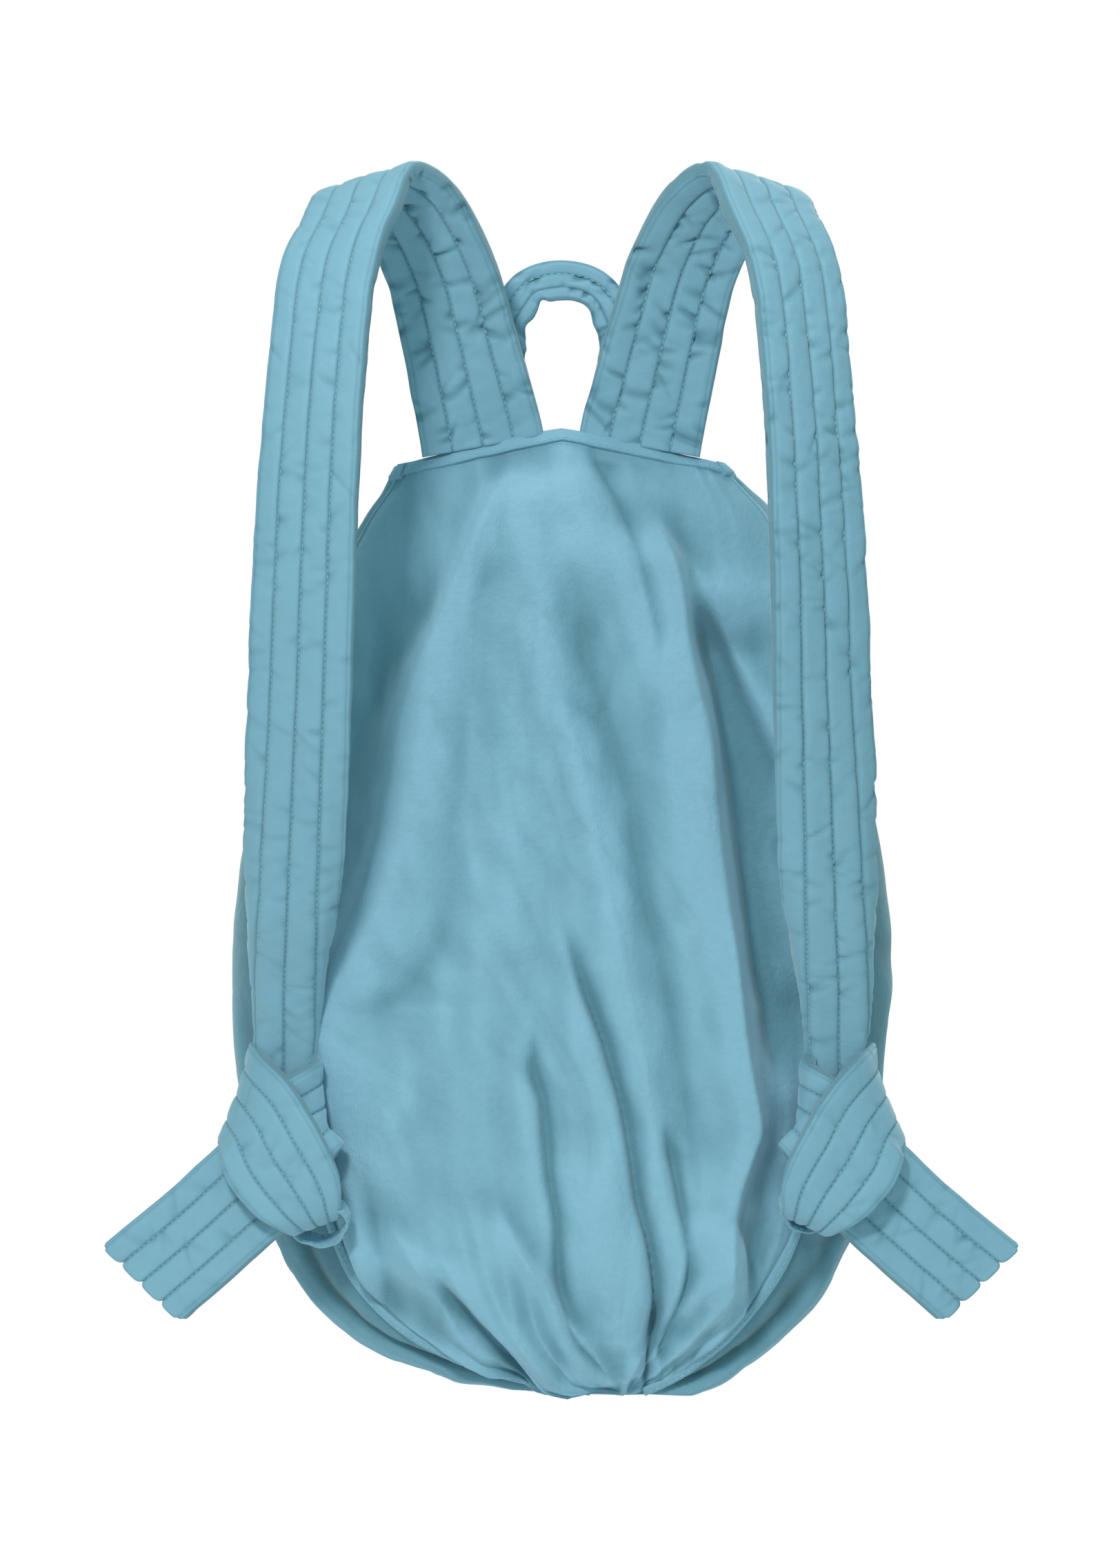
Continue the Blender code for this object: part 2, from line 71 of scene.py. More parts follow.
# Straps and knots
STRAP_WIDTH = 0.058
STRAP_LOFT = 0.0105
STRAP_CHANNELS = 4
STRAP_RISE = 0.1255
ARCH_SPREAD = 0.198
SHOULDER_DEPTH = 0.075
CHEST_REACH = 0.058
STRAP_BASE_OFFSET = 0.0405
KNOT_LAYER = 0.0105
KNOT_DOWN_SHARE = 0.737
KNOT_OUT_SHARE = 0.834
KNOT_SWEEP = 0.30

# The right strap's turn about its length, and how much of it each station takes
RIGHT_STRAP_LEAN = 0.26
RIGHT_LEAN_SHARES = (0.3, 0.8, 1.0, 1.0, 1.0, 0.8, 0.5, 0.2)

# Quilting. Where a strap folds (shares of its width), its side band's stitch line (depth as a
# share of half the thickness, place and width as shares of a channel), its least half thickness,
# and its cut end (bulge of the channels, slant across the width and reach along the strap), all
# three in metres
FOLD_SPAN = (0.14, 0.36)
EDGE_NOTCH = 0.10
EDGE_PLACE = 0.17
EDGE_LINE = 0.045
LEAST_HALF = 0.0006
TAIL_CUT = (0.009, -0.009)
CUT_REACH = 0.020

# Creases at the stitch lines: strength on each strap's front and back, spacing, depth and half
# width in metres, reach in channels, slope, and the share of them that are short
FACE_PUCKERS = {"left": (1.15, 0.38), "right": (0.52, 1.25)}
KNOT_PUCKERS = (0.35, 0.35)
PUCKER_SPACING = 0.0075
PUCKER_DEPTH = 0.0031
PUCKER_HALF = (0.0008, 0.0018)
PUCKER_REACH = (0.25, 0.90)
PUCKER_SLOPE = 0.45
SHORT_PUCKERS = 0.92
LONG_REACH = 1.6

# Uneven padding and crumpled cloth of the quilting: height, length and width in metres
SWELL = (0.0006, 0.024, 0.013)
CRUMPLE = (0.00025, 0.006, 0.006)

# Carry handle
HANDLE_RISE = 0.0785
HANDLE_SPREAD = 0.058
HANDLE_WIDTH = 0.021
HANDLE_THICKNESS = 0.008
HANDLE_FOOT_SHARE = 0.042

# Side loops
LOOP_HEIGHT = 0.0105
LOOP_WALL = 0.0015
LOOP_SPREAD = (0.0150, 0.0100)
LOOP_SHIFT = (0.0065, -0.0040, 0.0045)
RIGHT_LOOP_SHIFT = (0.0035, 0.0040, 0.0075)

# Stitches
QUILT_PITCH = 0.0033
TRIM_PITCH = 0.0036
STITCH_SHARE = 0.72
STITCH_RADIUS = 0.00036

# Cloths. Columns: dye, coordinates, crinkle scale, crinkle depth, unevenness of the dye, bump,
# and the strength of the painted shade in its stitch lines, creases and hollows
CLOTHS = {
    "body_cloth": ((0.232, 0.436, 0.545, 1), "Object", 240.0, 0.85, 0.14, 0.70, 0.35),
    "quilted_cloth": ((0.238, 0.443, 0.553, 1), "UV", 230.0, 0.55, 0.10, 0.55, 0.36),
    "trim_tape": ((0.226, 0.432, 0.545, 1), "Object", 330.0, 0.40, 0.10, 0.50, 0.0),
    "thread": ((0.28, 0.57, 0.68, 1), "Object", 900.0, 0.60, 0.25, 0.35, 0.0),
}
# How much more the painted shade darkens the red than the green and the blue
SHADE_RED_POWER = 1.4

# Wrinkles of the hanging panels. Columns: height, width and length in metres, how much of
# their sway they follow, and their seed
WRINKLES = (
    (0.0015, 0.034, 0.130, 1.0, 1),
    (0.0013, 0.014, 0.060, 1.4, 2),
    (0.0006, 0.0085, 0.016, 0.0, 3),
)
WRINKLE_SLANT = 0.8
WRINKLE_SWAY = 0.012
CREASE_DEPTH = 0.0008
CREASE_SHARPNESS = 2.2

# The panels' named folds: how far they wander (share of half the width), how early they start
# and end to fade (share of the height), and how round the top of flat facets is
FOLD_WANDER = 0.010
FADE_EARLY = 0.01
FACET_ROUNDING = 0.04

# Painted shade in the panels' hollows. Columns: radius in grid steps, share and full depth in metres
PAINTED_HOLLOW_SHADE = (
    (13, 0.45, 0.009),
    (4, 0.65, 0.0018),
)
# Painted shade that grows with how far a place lies below the plain form: share and full depth in metres
DEEP_SHARE = 0.45
DEEP_FULL = 0.024
# The most painted light on a ridge, as a painted shade below 0
RIDGE_LIGHT = -0.35
# Painted shade on the outer side next to the side seams
SEAM_SHADE = 1.25

# Panels. Columns: is on the wearer's side, columns and rows of its grid
PANELS = {
    "back_panel": (True, 190, 235),
    "front_panel": (False, 210, 200),
}

# Lights. Columns: place, size in metres, power in watts
LIGHTS = {
    "key": ((-0.74, -2.75, 1.20), 0.45, 53),
    "fill": ((2.4, -2.0, 0.0), 1.6, 2),
    "overhead": ((0.2, -0.4, 2.3), 1.2, 22),
    "behind": ((0.9, 2.8, 0.9), 1.8, 30),
}
AMBIENT_COLOUR = (0.55, 0.97, 1.0, 1)
AMBIENT_STRENGTH = 0.41

TOP_Z = STRAP_LOFT / 2 - STRAP_RISE
TOP_Y = SHOULDER_DEPTH
HALF_WIDTH = BODY_WIDTH / 2

# Columns: down (share of the height), half width (share of half the width), back and front
# (shares of the depth, towards -Y and +Y), shift (share of the gather's), seam (degrees)
BODY_SECTIONS = (
    (0.000, 0.488, 0.000, None, 0.00, 14),
    (0.045, 0.540, 0.028, 0.275, 0.08, 15),
    (0.100, 0.632, 0.052, 0.365, 0.12, 16),
    (0.200, 0.765, 0.088, 0.505, 0.05, 18),
    (0.300, 0.872, 0.112, 0.625, 0.00, 21),
    (0.400, 0.952, 0.130, 0.720, 0.00, 25),
    (0.500, 0.992, 0.142, 0.790, 0.00, 29),
    (0.580, 1.000, 0.148, 0.830, 0.00, 32),
    (0.660, 0.980, 0.148, 0.850, 0.00, 34),
    (0.750, 0.940, 0.142, 0.835, 0.05, 36),
    (0.835, 0.876, 0.125, 0.775, 0.06, 38),
    (0.895, 0.778, 0.100, 0.680, 0.06, 40),
    (0.935, 0.652, 0.076, 0.560, 0.14, 42),
    (0.965, 0.482, 0.048, 0.410, 0.32, 44),
    (0.982, 0.330, 0.010, 0.260, 0.55, 45),
    (1.000, None, None, None, 1.00, 45),
)

# Folds of the wearer's side. Columns: height in mm (below 0 for a groove), reach to the left
# and to the right in mm, sharpness (0 flat facets, 1 creased, 2 round), fade at the start and
# at the end (shares of the height), then points along the fold: across (share of half the
# width) and down (share of the height)
BACK_FOLDS = (
    ("left ridge", 17.0, 13, 58, 1.35, 0.05, 0.08, (
        (-0.13, 0.03), (-0.22, 0.09), (-0.31, 0.16), (-0.40, 0.23), (-0.46, 0.30), (-0.49, 0.37),
        (-0.57, 0.48), (-0.65, 0.55), (-0.68, 0.61), (-0.66, 0.70), (-0.62, 0.79), (-0.56, 0.86),
    )),
    ("left gully", -5.5, 34, 15, 1.5, 0.08, 0.10, (
        (-0.33, 0.12), (-0.42, 0.19), (-0.54, 0.26), (-0.62, 0.33), (-0.68, 0.42), (-0.76, 0.50),
        (-0.82, 0.58), (-0.85, 0.66), (-0.82, 0.75),
    )),
    ("left valley", -4.5, 12, 15, 1.5, 0.06, 0.08, (
        (-0.17, 0.10), (-0.25, 0.19), (-0.28, 0.28), (-0.30, 0.37), (-0.33, 0.43), (-0.34, 0.51),
        (-0.43, 0.57), (-0.53, 0.60),
    )),
    ("centre valley", -9.5, 19, 32, 0, 0.12, 0.10, (
        (0.04, 0.12), (0.055, 0.18), (0.108, 0.266), (0.189, 0.371), (0.25, 0.462), (0.325, 0.581),
        (0.37, 0.66), (0.40, 0.74),
    )),
    ("band pinch", -5.0, 4, 14, 1.1, 0.01, 0.06, (
        (0.085, 0.00), (0.12, 0.045), (0.175, 0.08), (0.245, 0.147), (0.29, 0.21),
    )),
    ("right ridge", 17.0, 40, 7, 1.2, 0.06, 0.10, (
        (0.28, 0.08), (0.35, 0.16), (0.375, 0.22), (0.395, 0.265), (0.42, 0.32), (0.435, 0.375),
        (0.48, 0.49), (0.52, 0.60), (0.55, 0.665), (0.57, 0.72), (0.55, 0.75), (0.51, 0.79),
        (0.47, 0.86),
    )),
    ("right shoulder", 9.0, 3.5, 34, 1.25, 0.09, 0.06, (
        (0.36, 0.12), (0.408, 0.146), (0.493, 0.205), (0.572, 0.259), (0.641, 0.306), (0.70, 0.345),
    )),
    ("right gully", -20.0, 9, 42, 1.8, 0.06, 0.10, (
        (0.44, 0.17), (0.47, 0.22), (0.51, 0.28), (0.55, 0.37), (0.59, 0.47), (0.63, 0.55),
        (0.66, 0.60),
    )),
    ("crease a", -10.0, 2.0, 9, 1.1, 0.10, 0.03, (
        (0.01, 0.51), (0.07, 0.58), (0.137, 0.64), (0.187, 0.70), (0.21, 0.75), (0.23, 0.80),
        (0.262, 0.85), (0.279, 0.91), (0.266, 0.945), (0.25, 0.98),
    )),
    ("bulge", 7.0, 30, 22, 1.8, 0.10, 0.05, (
        (0.06, 0.72), (0.10, 0.78), (0.13, 0.84), (0.16, 0.90), (0.19, 0.95),
    )),
    ("crease b", -8.0, 3, 7, 1.1, 0.08, 0.02, (
        (-0.08, 0.61), (-0.09, 0.66), (-0.06, 0.70), (-0.04, 0.77), (-0.015, 0.82), (0.00, 0.89),
        (0.04, 0.935), (0.10, 0.96), (0.18, 0.985),
    )),
    ("lower ridge 1", 6.0, 14, 5, 1.2, 0.05, 0.03, (
        (-0.495, 0.816), (-0.398, 0.868), (-0.302, 0.930), (-0.205, 0.968),
    )),
    ("lower valley 1", -7.0, 6, 12, 1.3, 0.06, 0.04, (
        (-0.564, 0.76), (-0.537, 0.825), (-0.509, 0.873), (-0.522, 0.911),
    )),
    ("lower ridge 2", 10.0, 4, 18, 1.15, 0.05, 0.01, (
        (-0.343, 0.855), (-0.247, 0.906), (-0.164, 0.935), (-0.054, 0.968), (0.057, 0.992),
    )),
    ("lower valley 2", -11.0, 8, 4, 1.2, 0.04, 0.02, (
        (-0.36, 0.872), (-0.323, 0.892), (-0.247, 0.925), (-0.164, 0.954), (-0.108, 0.973),
    )),
    ("folded edge", 9.0, 24, 3, 1.15, 0.06, 0.02, (
        (-0.19, 0.80), (-0.108, 0.854), (-0.04, 0.887), (0.016, 0.920), (0.085, 0.949),
        (0.16, 0.982),
    )),
    ("strip groove", -8.0, 3, 7, 1.2, 0.04, 0.04, (
        (0.31, 0.72), (0.34, 0.77), (0.36, 0.82), (0.365, 0.87), (0.33, 0.92), (0.30, 0.95),
    )),
    ("right lower fold", 9.0, 20, 3, 1.15, 0.04, 0.04, (
        (0.47, 0.81), (0.52, 0.845), (0.54, 0.89), (0.535, 0.93), (0.50, 0.95),
    )),
    ("right lower line", 8.0, 5, 14, 1.15, 0.04, 0.02, (
        (0.506, 0.84), (0.458, 0.868), (0.375, 0.901), (0.306, 0.944), (0.25, 0.973),
    )),
    ("tongue nook", -8.0, 4, 7, 1.3, 0.03, 0.03, (
        (0.285, 0.90), (0.27, 0.93), (0.24, 0.955),
    )),
    ("top wrinkle", -2.0, 5, 7, 1.3, 0.02, 0.03, (
        (-0.09, 0.045), (-0.14, 0.07), (-0.17, 0.105),
    )),
)

# Left strap from the top seam to its arch. Columns: across, up and forward (shares of the
# way), lean of the width (forward, down), width and thickness (shares), curl (degrees)
RISE_ROWS = (
    (0.00, 0.00, 0.00, 0.00, 0.22, 1.10, 0.50, 0),
    (0.03, 0.07, 0.01, 0.00, 0.22, 1.09, 0.80, 0),
    (0.11, 0.22, 0.09, 0.02, 0.23, 1.06, 1.00, 4),
    (0.22, 0.43, 0.20, 0.05, 0.24, 1.02, 1.00, 8),
    (0.38, 0.69, 0.40, 0.12, 0.26, 0.98, 1.00, 10),
    (0.66, 0.92, 0.71, 0.30, 0.30, 0.97, 1.00, 6),
    (1.00, 1.00, 1.00, 0.45, 0.30, 0.98, 1.00, 2),
)

# Left strap from its arch to the knot. Columns: across and down (shares of the way),
# reach (share of the chest reach), back (share of the way back to the knot), lean of the
# width (forward, down), width and thickness (shares), curl (degrees)
FALL_ROWS = (
    (0.21, 0.035, 0.42, 0.00, 0.46, 0.20, 0.96, 1.00, 2),
    (0.46, 0.092, 0.74, 0.00, 0.44, 0.10, 0.94, 1.00, 3),
    (0.59, 0.193, 0.95, 0.00, 0.44, 0.05, 0.93, 1.00, 5),
    (0.69, 0.314, 1.00, 0.00, 0.40, 0.02, 0.95, 1.00, 8),
    (0.75, 0.426, 0.93, 0.06, 0.36, 0.00, 0.96, 1.00, 8),
    (0.80, 0.538, 0.75, 0.16, 0.34, 0.00, 0.96, 1.00, 14),
    (0.87, 0.652, 0.50, 0.32, 0.28, 0.00, 0.96, 1.00, 30),
    (0.93, 0.753, 0.28, 0.53, 0.20, 0.00, 0.95, 1.00, 55),
    (0.98, 0.832, 0.12, 0.86, 0.14, 0.00, 0.94, 0.95, 90),
    (0.99, 0.892, 0.00, 1.00, 0.10, 0.00, 0.92, 0.90, 120),
    (1.00, 0.960, 0.00, 1.00, 0.10, 0.00, 0.80, 0.80, 130),
    (1.00, 1.030, 0.00, 1.00, 0.10, 0.00, 0.60, 0.70, 130),
)

# The turn that knots the left strap, in strap widths from the knot's middle. Columns: in,
# up, front layer (in knot layers), lean of the width (in, up), width and thickness (shares)
KNOT_ROWS = (
    (0.30, -0.62, -0.95, -0.92, -0.39, 0.30, 0.60),
    (0.29, -0.69, 0.05, -0.92, -0.39, 0.42, 0.70),
    (0.24, -0.64, 1.15, -0.84, -0.54, 0.58, 0.85),
    (0.13, -0.45, 1.95, -0.66, -0.75, 0.84, 0.90),
    (-0.07, -0.14, 2.25, -0.64, -0.77, 0.97, 0.95),
    (-0.22, 0.17, 1.95, -0.50, -0.87, 0.95, 0.95),
    (-0.33, 0.33, 1.05, -0.40, -0.92, 0.93, 0.95),
    (-0.36, 0.40, 0.00, -0.35, -0.94, 0.92, 0.90),
    (-0.28, 0.43, -0.95, -0.20, -0.98, 0.92, 0.90),
    (0.00, 0.42, -1.30, 0.00, -1.00, 0.93, 0.90),
    (0.21, 0.37, -0.95, 0.08, -1.00, 0.88, 0.90),
    (0.29, 0.32, -0.05, 0.10, -0.99, 0.82, 0.90),
    (0.25, 0.26, 0.85, 0.14, -0.99, 0.80, 0.90),
    (0.08, 0.05, 1.12, 0.40, -0.92, 0.86, 0.90),
    (-0.14, -0.26, 1.02, 0.70, -0.71, 0.97, 0.90),
    (-0.41, -0.52, 0.72, 0.70, -0.71, 0.97, 1.00),
    (-0.78, -0.86, 0.55, 0.70, -0.71, 0.97, 1.10),
    (-1.27, -1.27, 0.45, 0.75, -0.66, 0.99, 0.95),
)

# Carry handle. Columns: across (share of half the spread), up (share of the rise), back
# of the top seam (share of the handle's thickness), width (share of the handle width)
HANDLE_ROWS = (
    (-0.90, -0.20, 0.62, 0.85),
    (-0.93, -0.05, 0.95, 0.95),
    (-0.98, 0.20, 1.25, 1.00),
    (-1.02, 0.45, 1.35, 1.00),
    (-0.96, 0.70, 1.35, 1.00),
    (-0.62, 0.93, 1.30, 1.00),
    (0.00, 1.00, 1.30, 1.00),
    (0.62, 0.93, 1.30, 1.00),
    (0.98, 0.70, 1.35, 1.00),
    (1.02, 0.45, 1.35, 1.00),
    (0.95, 0.20, 1.25, 1.00),
    (0.82, -0.05, 0.95, 0.95),
    (0.78, -0.20, 0.62, 0.85),
)


# Reading tables and noise


def smooth_read(rows, at):
    """Rows read off the smooth curve through them, at places from 0 to 1."""
    rows = np.asarray(rows, float)
    last = len(rows) - 1
    place = np.clip(np.asarray(at, float), 0, 1) * last
    first = np.minimum(place.astype(int), last - 1)
    t = (place - first)[..., None]
    more = np.concatenate([[2 * rows[0] - rows[1]], rows, [2 * rows[-1] - rows[-2]]])
    before, start, end, after = (more[first + k] for k in range(4))
    bend = (before - 2.5 * start + 2 * end - 0.5 * after) + t * 0.5 * (3 * (start - end) + after - before)
    return start + t * (0.5 * (end - before) + t * bend)


def ease(low, high, value):
    """0 below low, 1 above high, and smooth between them."""
    share = np.clip((value - low) / (high - low), 0, 1)
    return share * share * (3 - 2 * share)


def ripple(x, y, seed):
    """Smooth noise from -1 to 1 with features about 1 across."""
    size = 128
    lattice = np.random.default_rng(seed).uniform(-1, 1, (size, size))
    i, j = np.floor(x).astype(int), np.floor(y).astype(int)
    u, v = x - i, y - j
    u, v = u * u * (3 - 2 * u), v * v * (3 - 2 * v)
    low = lattice[i % size, j % size] * (1 - u) + lattice[(i + 1) % size, j % size] * u
    high = lattice[i % size, (j + 1) % size] * (1 - u) + lattice[(i + 1) % size, (j + 1) % size] * u
    return low * (1 - v) + high * v


def unit(vectors):
    """The vectors at length 1."""
    return vectors / np.maximum(np.linalg.norm(vectors, axis=-1, keepdims=True), 1e-12)


# Mesh helpers


def add_object(name, data):
    """A new object in the scene."""
    obj = bpy.data.objects.new(name, data)
    bpy.context.scene.collection.objects.link(obj)
    return obj


def grid_object(name, points, uv, closed_across=False, caps=False):
    """A quad mesh through a grid of points, rows by columns, with a UV map in metres."""
    rows, columns = points.shape[:2]
    index = np.arange(rows * columns).reshape(rows, columns)
    right = np.roll(index, -1, axis=1)
    if not closed_across:
        index, right = index[:, :-1], right[:, :-1]
    quads = np.stack([index[:-1], right[:-1], right[1:], index[1:]], axis=-1).reshape(-1, 4)
    faces = quads.tolist()
    if caps:
        for first in (0, (rows - 1) * columns):
            near = first + np.arange(columns // 2 - 1)
            far = 2 * first + columns - 1 - near
            faces += np.stack([near, near + 1, far - 1, far], axis=-1).tolist()
    mesh = bpy.data.meshes.new(name)
    mesh.from_pydata(points.reshape(-1, 3).tolist(), [], faces)
    layer = mesh.uv_layers.new(name="cloth")
    corners = np.empty(len(mesh.loops), int)
    mesh.loops.foreach_get("vertex_index", corners)
    layer.data.foreach_set("uv", uv.reshape(-1, 2)[corners].ravel())
    shape = bmesh.new()
    shape.from_mesh(mesh)
    if closed_across:
        bmesh.ops.recalc_face_normals(shape, faces=shape.faces)
    shape.to_mesh(mesh)
    shape.free()
    mesh.shade_smooth()
    for face in mesh.polygons[len(quads):]:
        face.use_smooth = False
    return add_object(name, mesh)


def apply_modifiers(obj):
    """Makes the evaluated shape the object's own mesh."""
    graph = bpy.context.evaluated_depsgraph_get()
    made = bpy.data.meshes.new_from_object(obj.evaluated_get(graph))
    obj.modifiers.clear()
    obj.data = made
    return obj


def place_piece(obj, slot, material, *nodes):
    """Gives a finished piece its cloth and its body, and hides the CAD nodes that it stands for."""
    if material is not None:
        obj.data.materials.clear()
        obj.data.materials.append(material)
    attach(obj, "root")
    if nodes:
        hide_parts(*nodes)
    return obj


# Materials


def new_group(name, inputs, outputs):
    """An empty shader group with named sockets, and its input and output nodes."""
    group = bpy.data.node_groups.new(name, "ShaderNodeTree")
    for label, kind, value in inputs:
        socket = group.interface.new_socket(label, in_out="INPUT", socket_type=kind)
        if value is not None:
            socket.default_value = value
    for label, kind in outputs:
        group.interface.new_socket(label, in_out="OUTPUT", socket_type=kind)
    return group, group.nodes.new("NodeGroupInput"), group.nodes.new("NodeGroupOutput")


def maths(tree, operation, *values):
    """A Math node whose inputs are sockets or numbers."""
    node = tree.nodes.new("ShaderNodeMath")
    node.operation = operation
    for socket, value in zip(node.inputs, values):
        if isinstance(value, (int, float)):
            socket.default_value = value
        else:
            tree.links.new(value, socket)
    return node.outputs[0]


def noise_texture(tree, vector, scale, detail, roughness):
    """A noise texture whose scale is a number or a socket."""
    node = tree.nodes.new("ShaderNodeTexNoise")
    node.inputs["Detail"].default_value = detail
    node.inputs["Roughness"].default_value = roughness
    if isinstance(scale, (int, float)):
        node.inputs["Scale"].default_value = scale
    else:
        tree.links.new(scale, node.inputs["Scale"])
    tree.links.new(vector, node.inputs["Vector"])
    return node.outputs[0]


def washed_nylon_group():
    """Washed nylon: a fine plain weave, soft crinkles and uneven dye."""
    inputs = (
        ("Vector", "NodeSocketVector", None),
        ("Dye", "NodeSocketColor", (0.2, 0.42, 0.52, 1)),
        ("Weave Scale", "NodeSocketFloat", 620.0),
        ("Crinkle Scale", "NodeSocketFloat", 210.0),
        ("Crinkle Depth", "NodeSocketFloat", 0.5),
        ("Unevenness", "NodeSocketFloat", 0.1),
    )
    outputs = (
        ("Color", "NodeSocketColor"),
        ("Roughness", "NodeSocketFloat"),
        ("Height", "NodeSocketFloat"),
    )
    thread_wobble, weave_relief = 1.2, 0.055
    coarse_scale, coarse_share, mottle_scale = 55.0, 1.1, 24.0
    least_rough, crinkle_rough = 0.52, 0.16
    group, given, result = new_group("washed_nylon", inputs, outputs)
    vector = given.outputs["Vector"]

    def times(value, factor):
        return maths(group, "MULTIPLY", value, factor)

    def plus(value, more):
        return maths(group, "ADD", value, more)

    threads = []
    for axis in ("X", "Y", "Z"):
        wave = group.nodes.new("ShaderNodeTexWave")
        wave.bands_direction = axis
        wave.inputs["Distortion"].default_value = thread_wobble
        wave.inputs["Detail"].default_value = 1.0
        group.links.new(vector, wave.inputs["Vector"])
        group.links.new(given.outputs["Weave Scale"], wave.inputs["Scale"])
        threads.append(wave.outputs["Fac"])
    weave = plus(times(threads[0], threads[2]), threads[1])
    crinkle = noise_texture(group, vector, given.outputs["Crinkle Scale"], 6.0, 0.62)
    coarse = noise_texture(group, vector, coarse_scale, 3.0, 0.55)
    mottle = noise_texture(group, vector, mottle_scale, 4.0, 0.6)
    lumps = plus(crinkle, times(coarse, coarse_share))
    height = plus(times(lumps, given.outputs["Crinkle Depth"]), times(weave, weave_relief))
    uneven = plus(plus(mottle, -0.5), plus(crinkle, -0.5))
    tone = plus(times(uneven, given.outputs["Unevenness"]), 1.0)
    scaled = group.nodes.new("ShaderNodeVectorMath")
    scaled.operation = "SCALE"
    group.links.new(given.outputs["Dye"], scaled.inputs[0])
    group.links.new(tone, scaled.inputs["Scale"])
    rough = plus(times(crinkle, crinkle_rough), least_rough)
    group.links.new(scaled.outputs[0], result.inputs["Color"])
    group.links.new(rough, result.inputs["Roughness"])
    group.links.new(height, result.inputs["Height"])
    return group


def shade_grooves(tree, colour, strength):
    """The colour with painted shade, deepest in its red, in the stitch lines, creases and hollows that the
    groove attribute marks.
    """
    groove = tree.nodes.new("ShaderNodeAttribute")
    groove.attribute_name = "groove"
    left = maths(tree, "SUBTRACT", 1.0, maths(tree, "MULTIPLY", groove.outputs["Fac"], strength))
    share = tree.nodes.new("ShaderNodeCombineXYZ")
    tree.links.new(maths(tree, "POWER", left, SHADE_RED_POWER), share.inputs["X"])
    tree.links.new(left, share.inputs["Y"])
    tree.links.new(left, share.inputs["Z"])
    darker = tree.nodes.new("ShaderNodeVectorMath")
    darker.operation = "MULTIPLY"
    tree.links.new(colour, darker.inputs[0])
    tree.links.new(share.outputs[0], darker.inputs[1])
    return darker.outputs[0]


def cloth_material(name, nylon, dye, coordinates, crinkle_scale, crinkle_depth, unevenness, bump, shade):
    """A cloth of the shared nylon, with its own dye, crinkles, bump and painted shade in its creases."""
    material = bpy.data.materials.new(name)
    material.use_nodes = True
    tree = material.node_tree
    shader = tree.nodes["Principled BSDF"]
    for socket, value in (
        ("Metallic", 0.0),
        ("Specular IOR Level", 0.32),
        ("Sheen Weight", 0.42),
        ("Sheen Roughness", 0.45),
        ("Sheen Tint", (0.92, 0.98, 1.0, 1)),
    ):
        shader.inputs[socket].default_value = value
    look = tree.nodes.new("ShaderNodeGroup")
    look.node_tree = nylon
    for socket, value in (
        ("Dye", dye),
        ("Crinkle Scale", crinkle_scale),
        ("Crinkle Depth", crinkle_depth),
        ("Unevenness", unevenness),
    ):
        look.inputs[socket].default_value = value
    source = tree.nodes.new("ShaderNodeTexCoord")
    tree.links.new(source.outputs[coordinates], look.inputs["Vector"])
    bumps = tree.nodes.new("ShaderNodeBump")
    bumps.inputs["Strength"].default_value = bump
    bumps.inputs["Distance"].default_value = 0.0012
    tree.links.new(look.outputs["Height"], bumps.inputs["Height"])
    colour = look.outputs["Color"]
    # Painted shade in the stitch lines, creases and hollows that the groove attribute marks
    if shade > 0:
        colour = shade_grooves(tree, colour, shade)
    tree.links.new(colour, shader.inputs["Base Color"])
    tree.links.new(look.outputs["Roughness"], shader.inputs["Roughness"])
    tree.links.new(bumps.outputs["Normal"], shader.inputs["Normal"])
    return material


def make_materials():
    """The cloths of the bag."""
    nylon = washed_nylon_group()
    return {name: cloth_material(name, nylon, *look) for name, look in CLOTHS.items()}


# Body


def body_sections():
    """The body's half width, back y, front y, shift, seam angle in radians and share of the way down."""
    made = []
    for down, half, back, front, shift, seam in BODY_SECTIONS:
        half_width = GATHER_RADIUS if half is None else half * HALF_WIDTH
        back_y = GATHER_RADIUS * 0.3 if back is None else -back * BODY_DEPTH
        front_y = back_y + (MOUTH_GAP if down == 0 else 2 * GATHER_RADIUS)
        if front is not None:
            front_y = front * BODY_DEPTH
        if down == 0:
            half_width = TOP_SEAM_WIDTH / 2
        made.append((half_width, back_y, front_y, shift * GATHER_SHIFT, math.radians(seam), down))
    return np.array(made)


SECTIONS = body_sections()


def signed_power(value, power):
    """The value raised to a power, with its sign kept."""
    return np.sign(value) * np.abs(value) ** power


def plain_body(angle, at):
    """Points of the body's smooth form. The angle runs from +X through +Y."""
    half_width, back_y, front_y, shift, _, down = np.moveaxis(smooth_read(SECTIONS, at), -1, 0)
    down = down * BODY_HEIGHT
    rounded = np.minimum(1.0, down / (ROUND_FROM * BODY_HEIGHT))
    squareness = TOP_SQUARENESS + (1 - TOP_SQUARENESS) * rounded
    across = signed_power(np.cos(angle), squareness)
    deep = signed_power(np.sin(angle), squareness)
    centre = (back_y + front_y) / 2
    reach = np.where(deep > 0, front_y - centre, centre - back_y)
    near_top = np.maximum(0.0, 1.0 - down / (CROWN_REACH * BODY_HEIGHT)) ** 2
    crown = -TOP_SEAM_DROP * np.abs(across) ** CROWN_POWER - RIM_DIP * np.maximum(deep, 0.0)
    x = shift + half_width * across
    y = TOP_Y + centre + reach * deep
    return np.stack([x, y, TOP_Z - down + crown * near_top], axis=-1)


def plain_normals(angle, at):
    """Outward normals of the smooth form."""
    step = 0.012
    round_it = plain_body(angle + step, at) - plain_body(angle - step, at)
    down_it = plain_body(angle, np.maximum(at - step, 0)) - plain_body(angle, np.minimum(at + step, 1))
    return unit(np.cross(round_it, down_it))


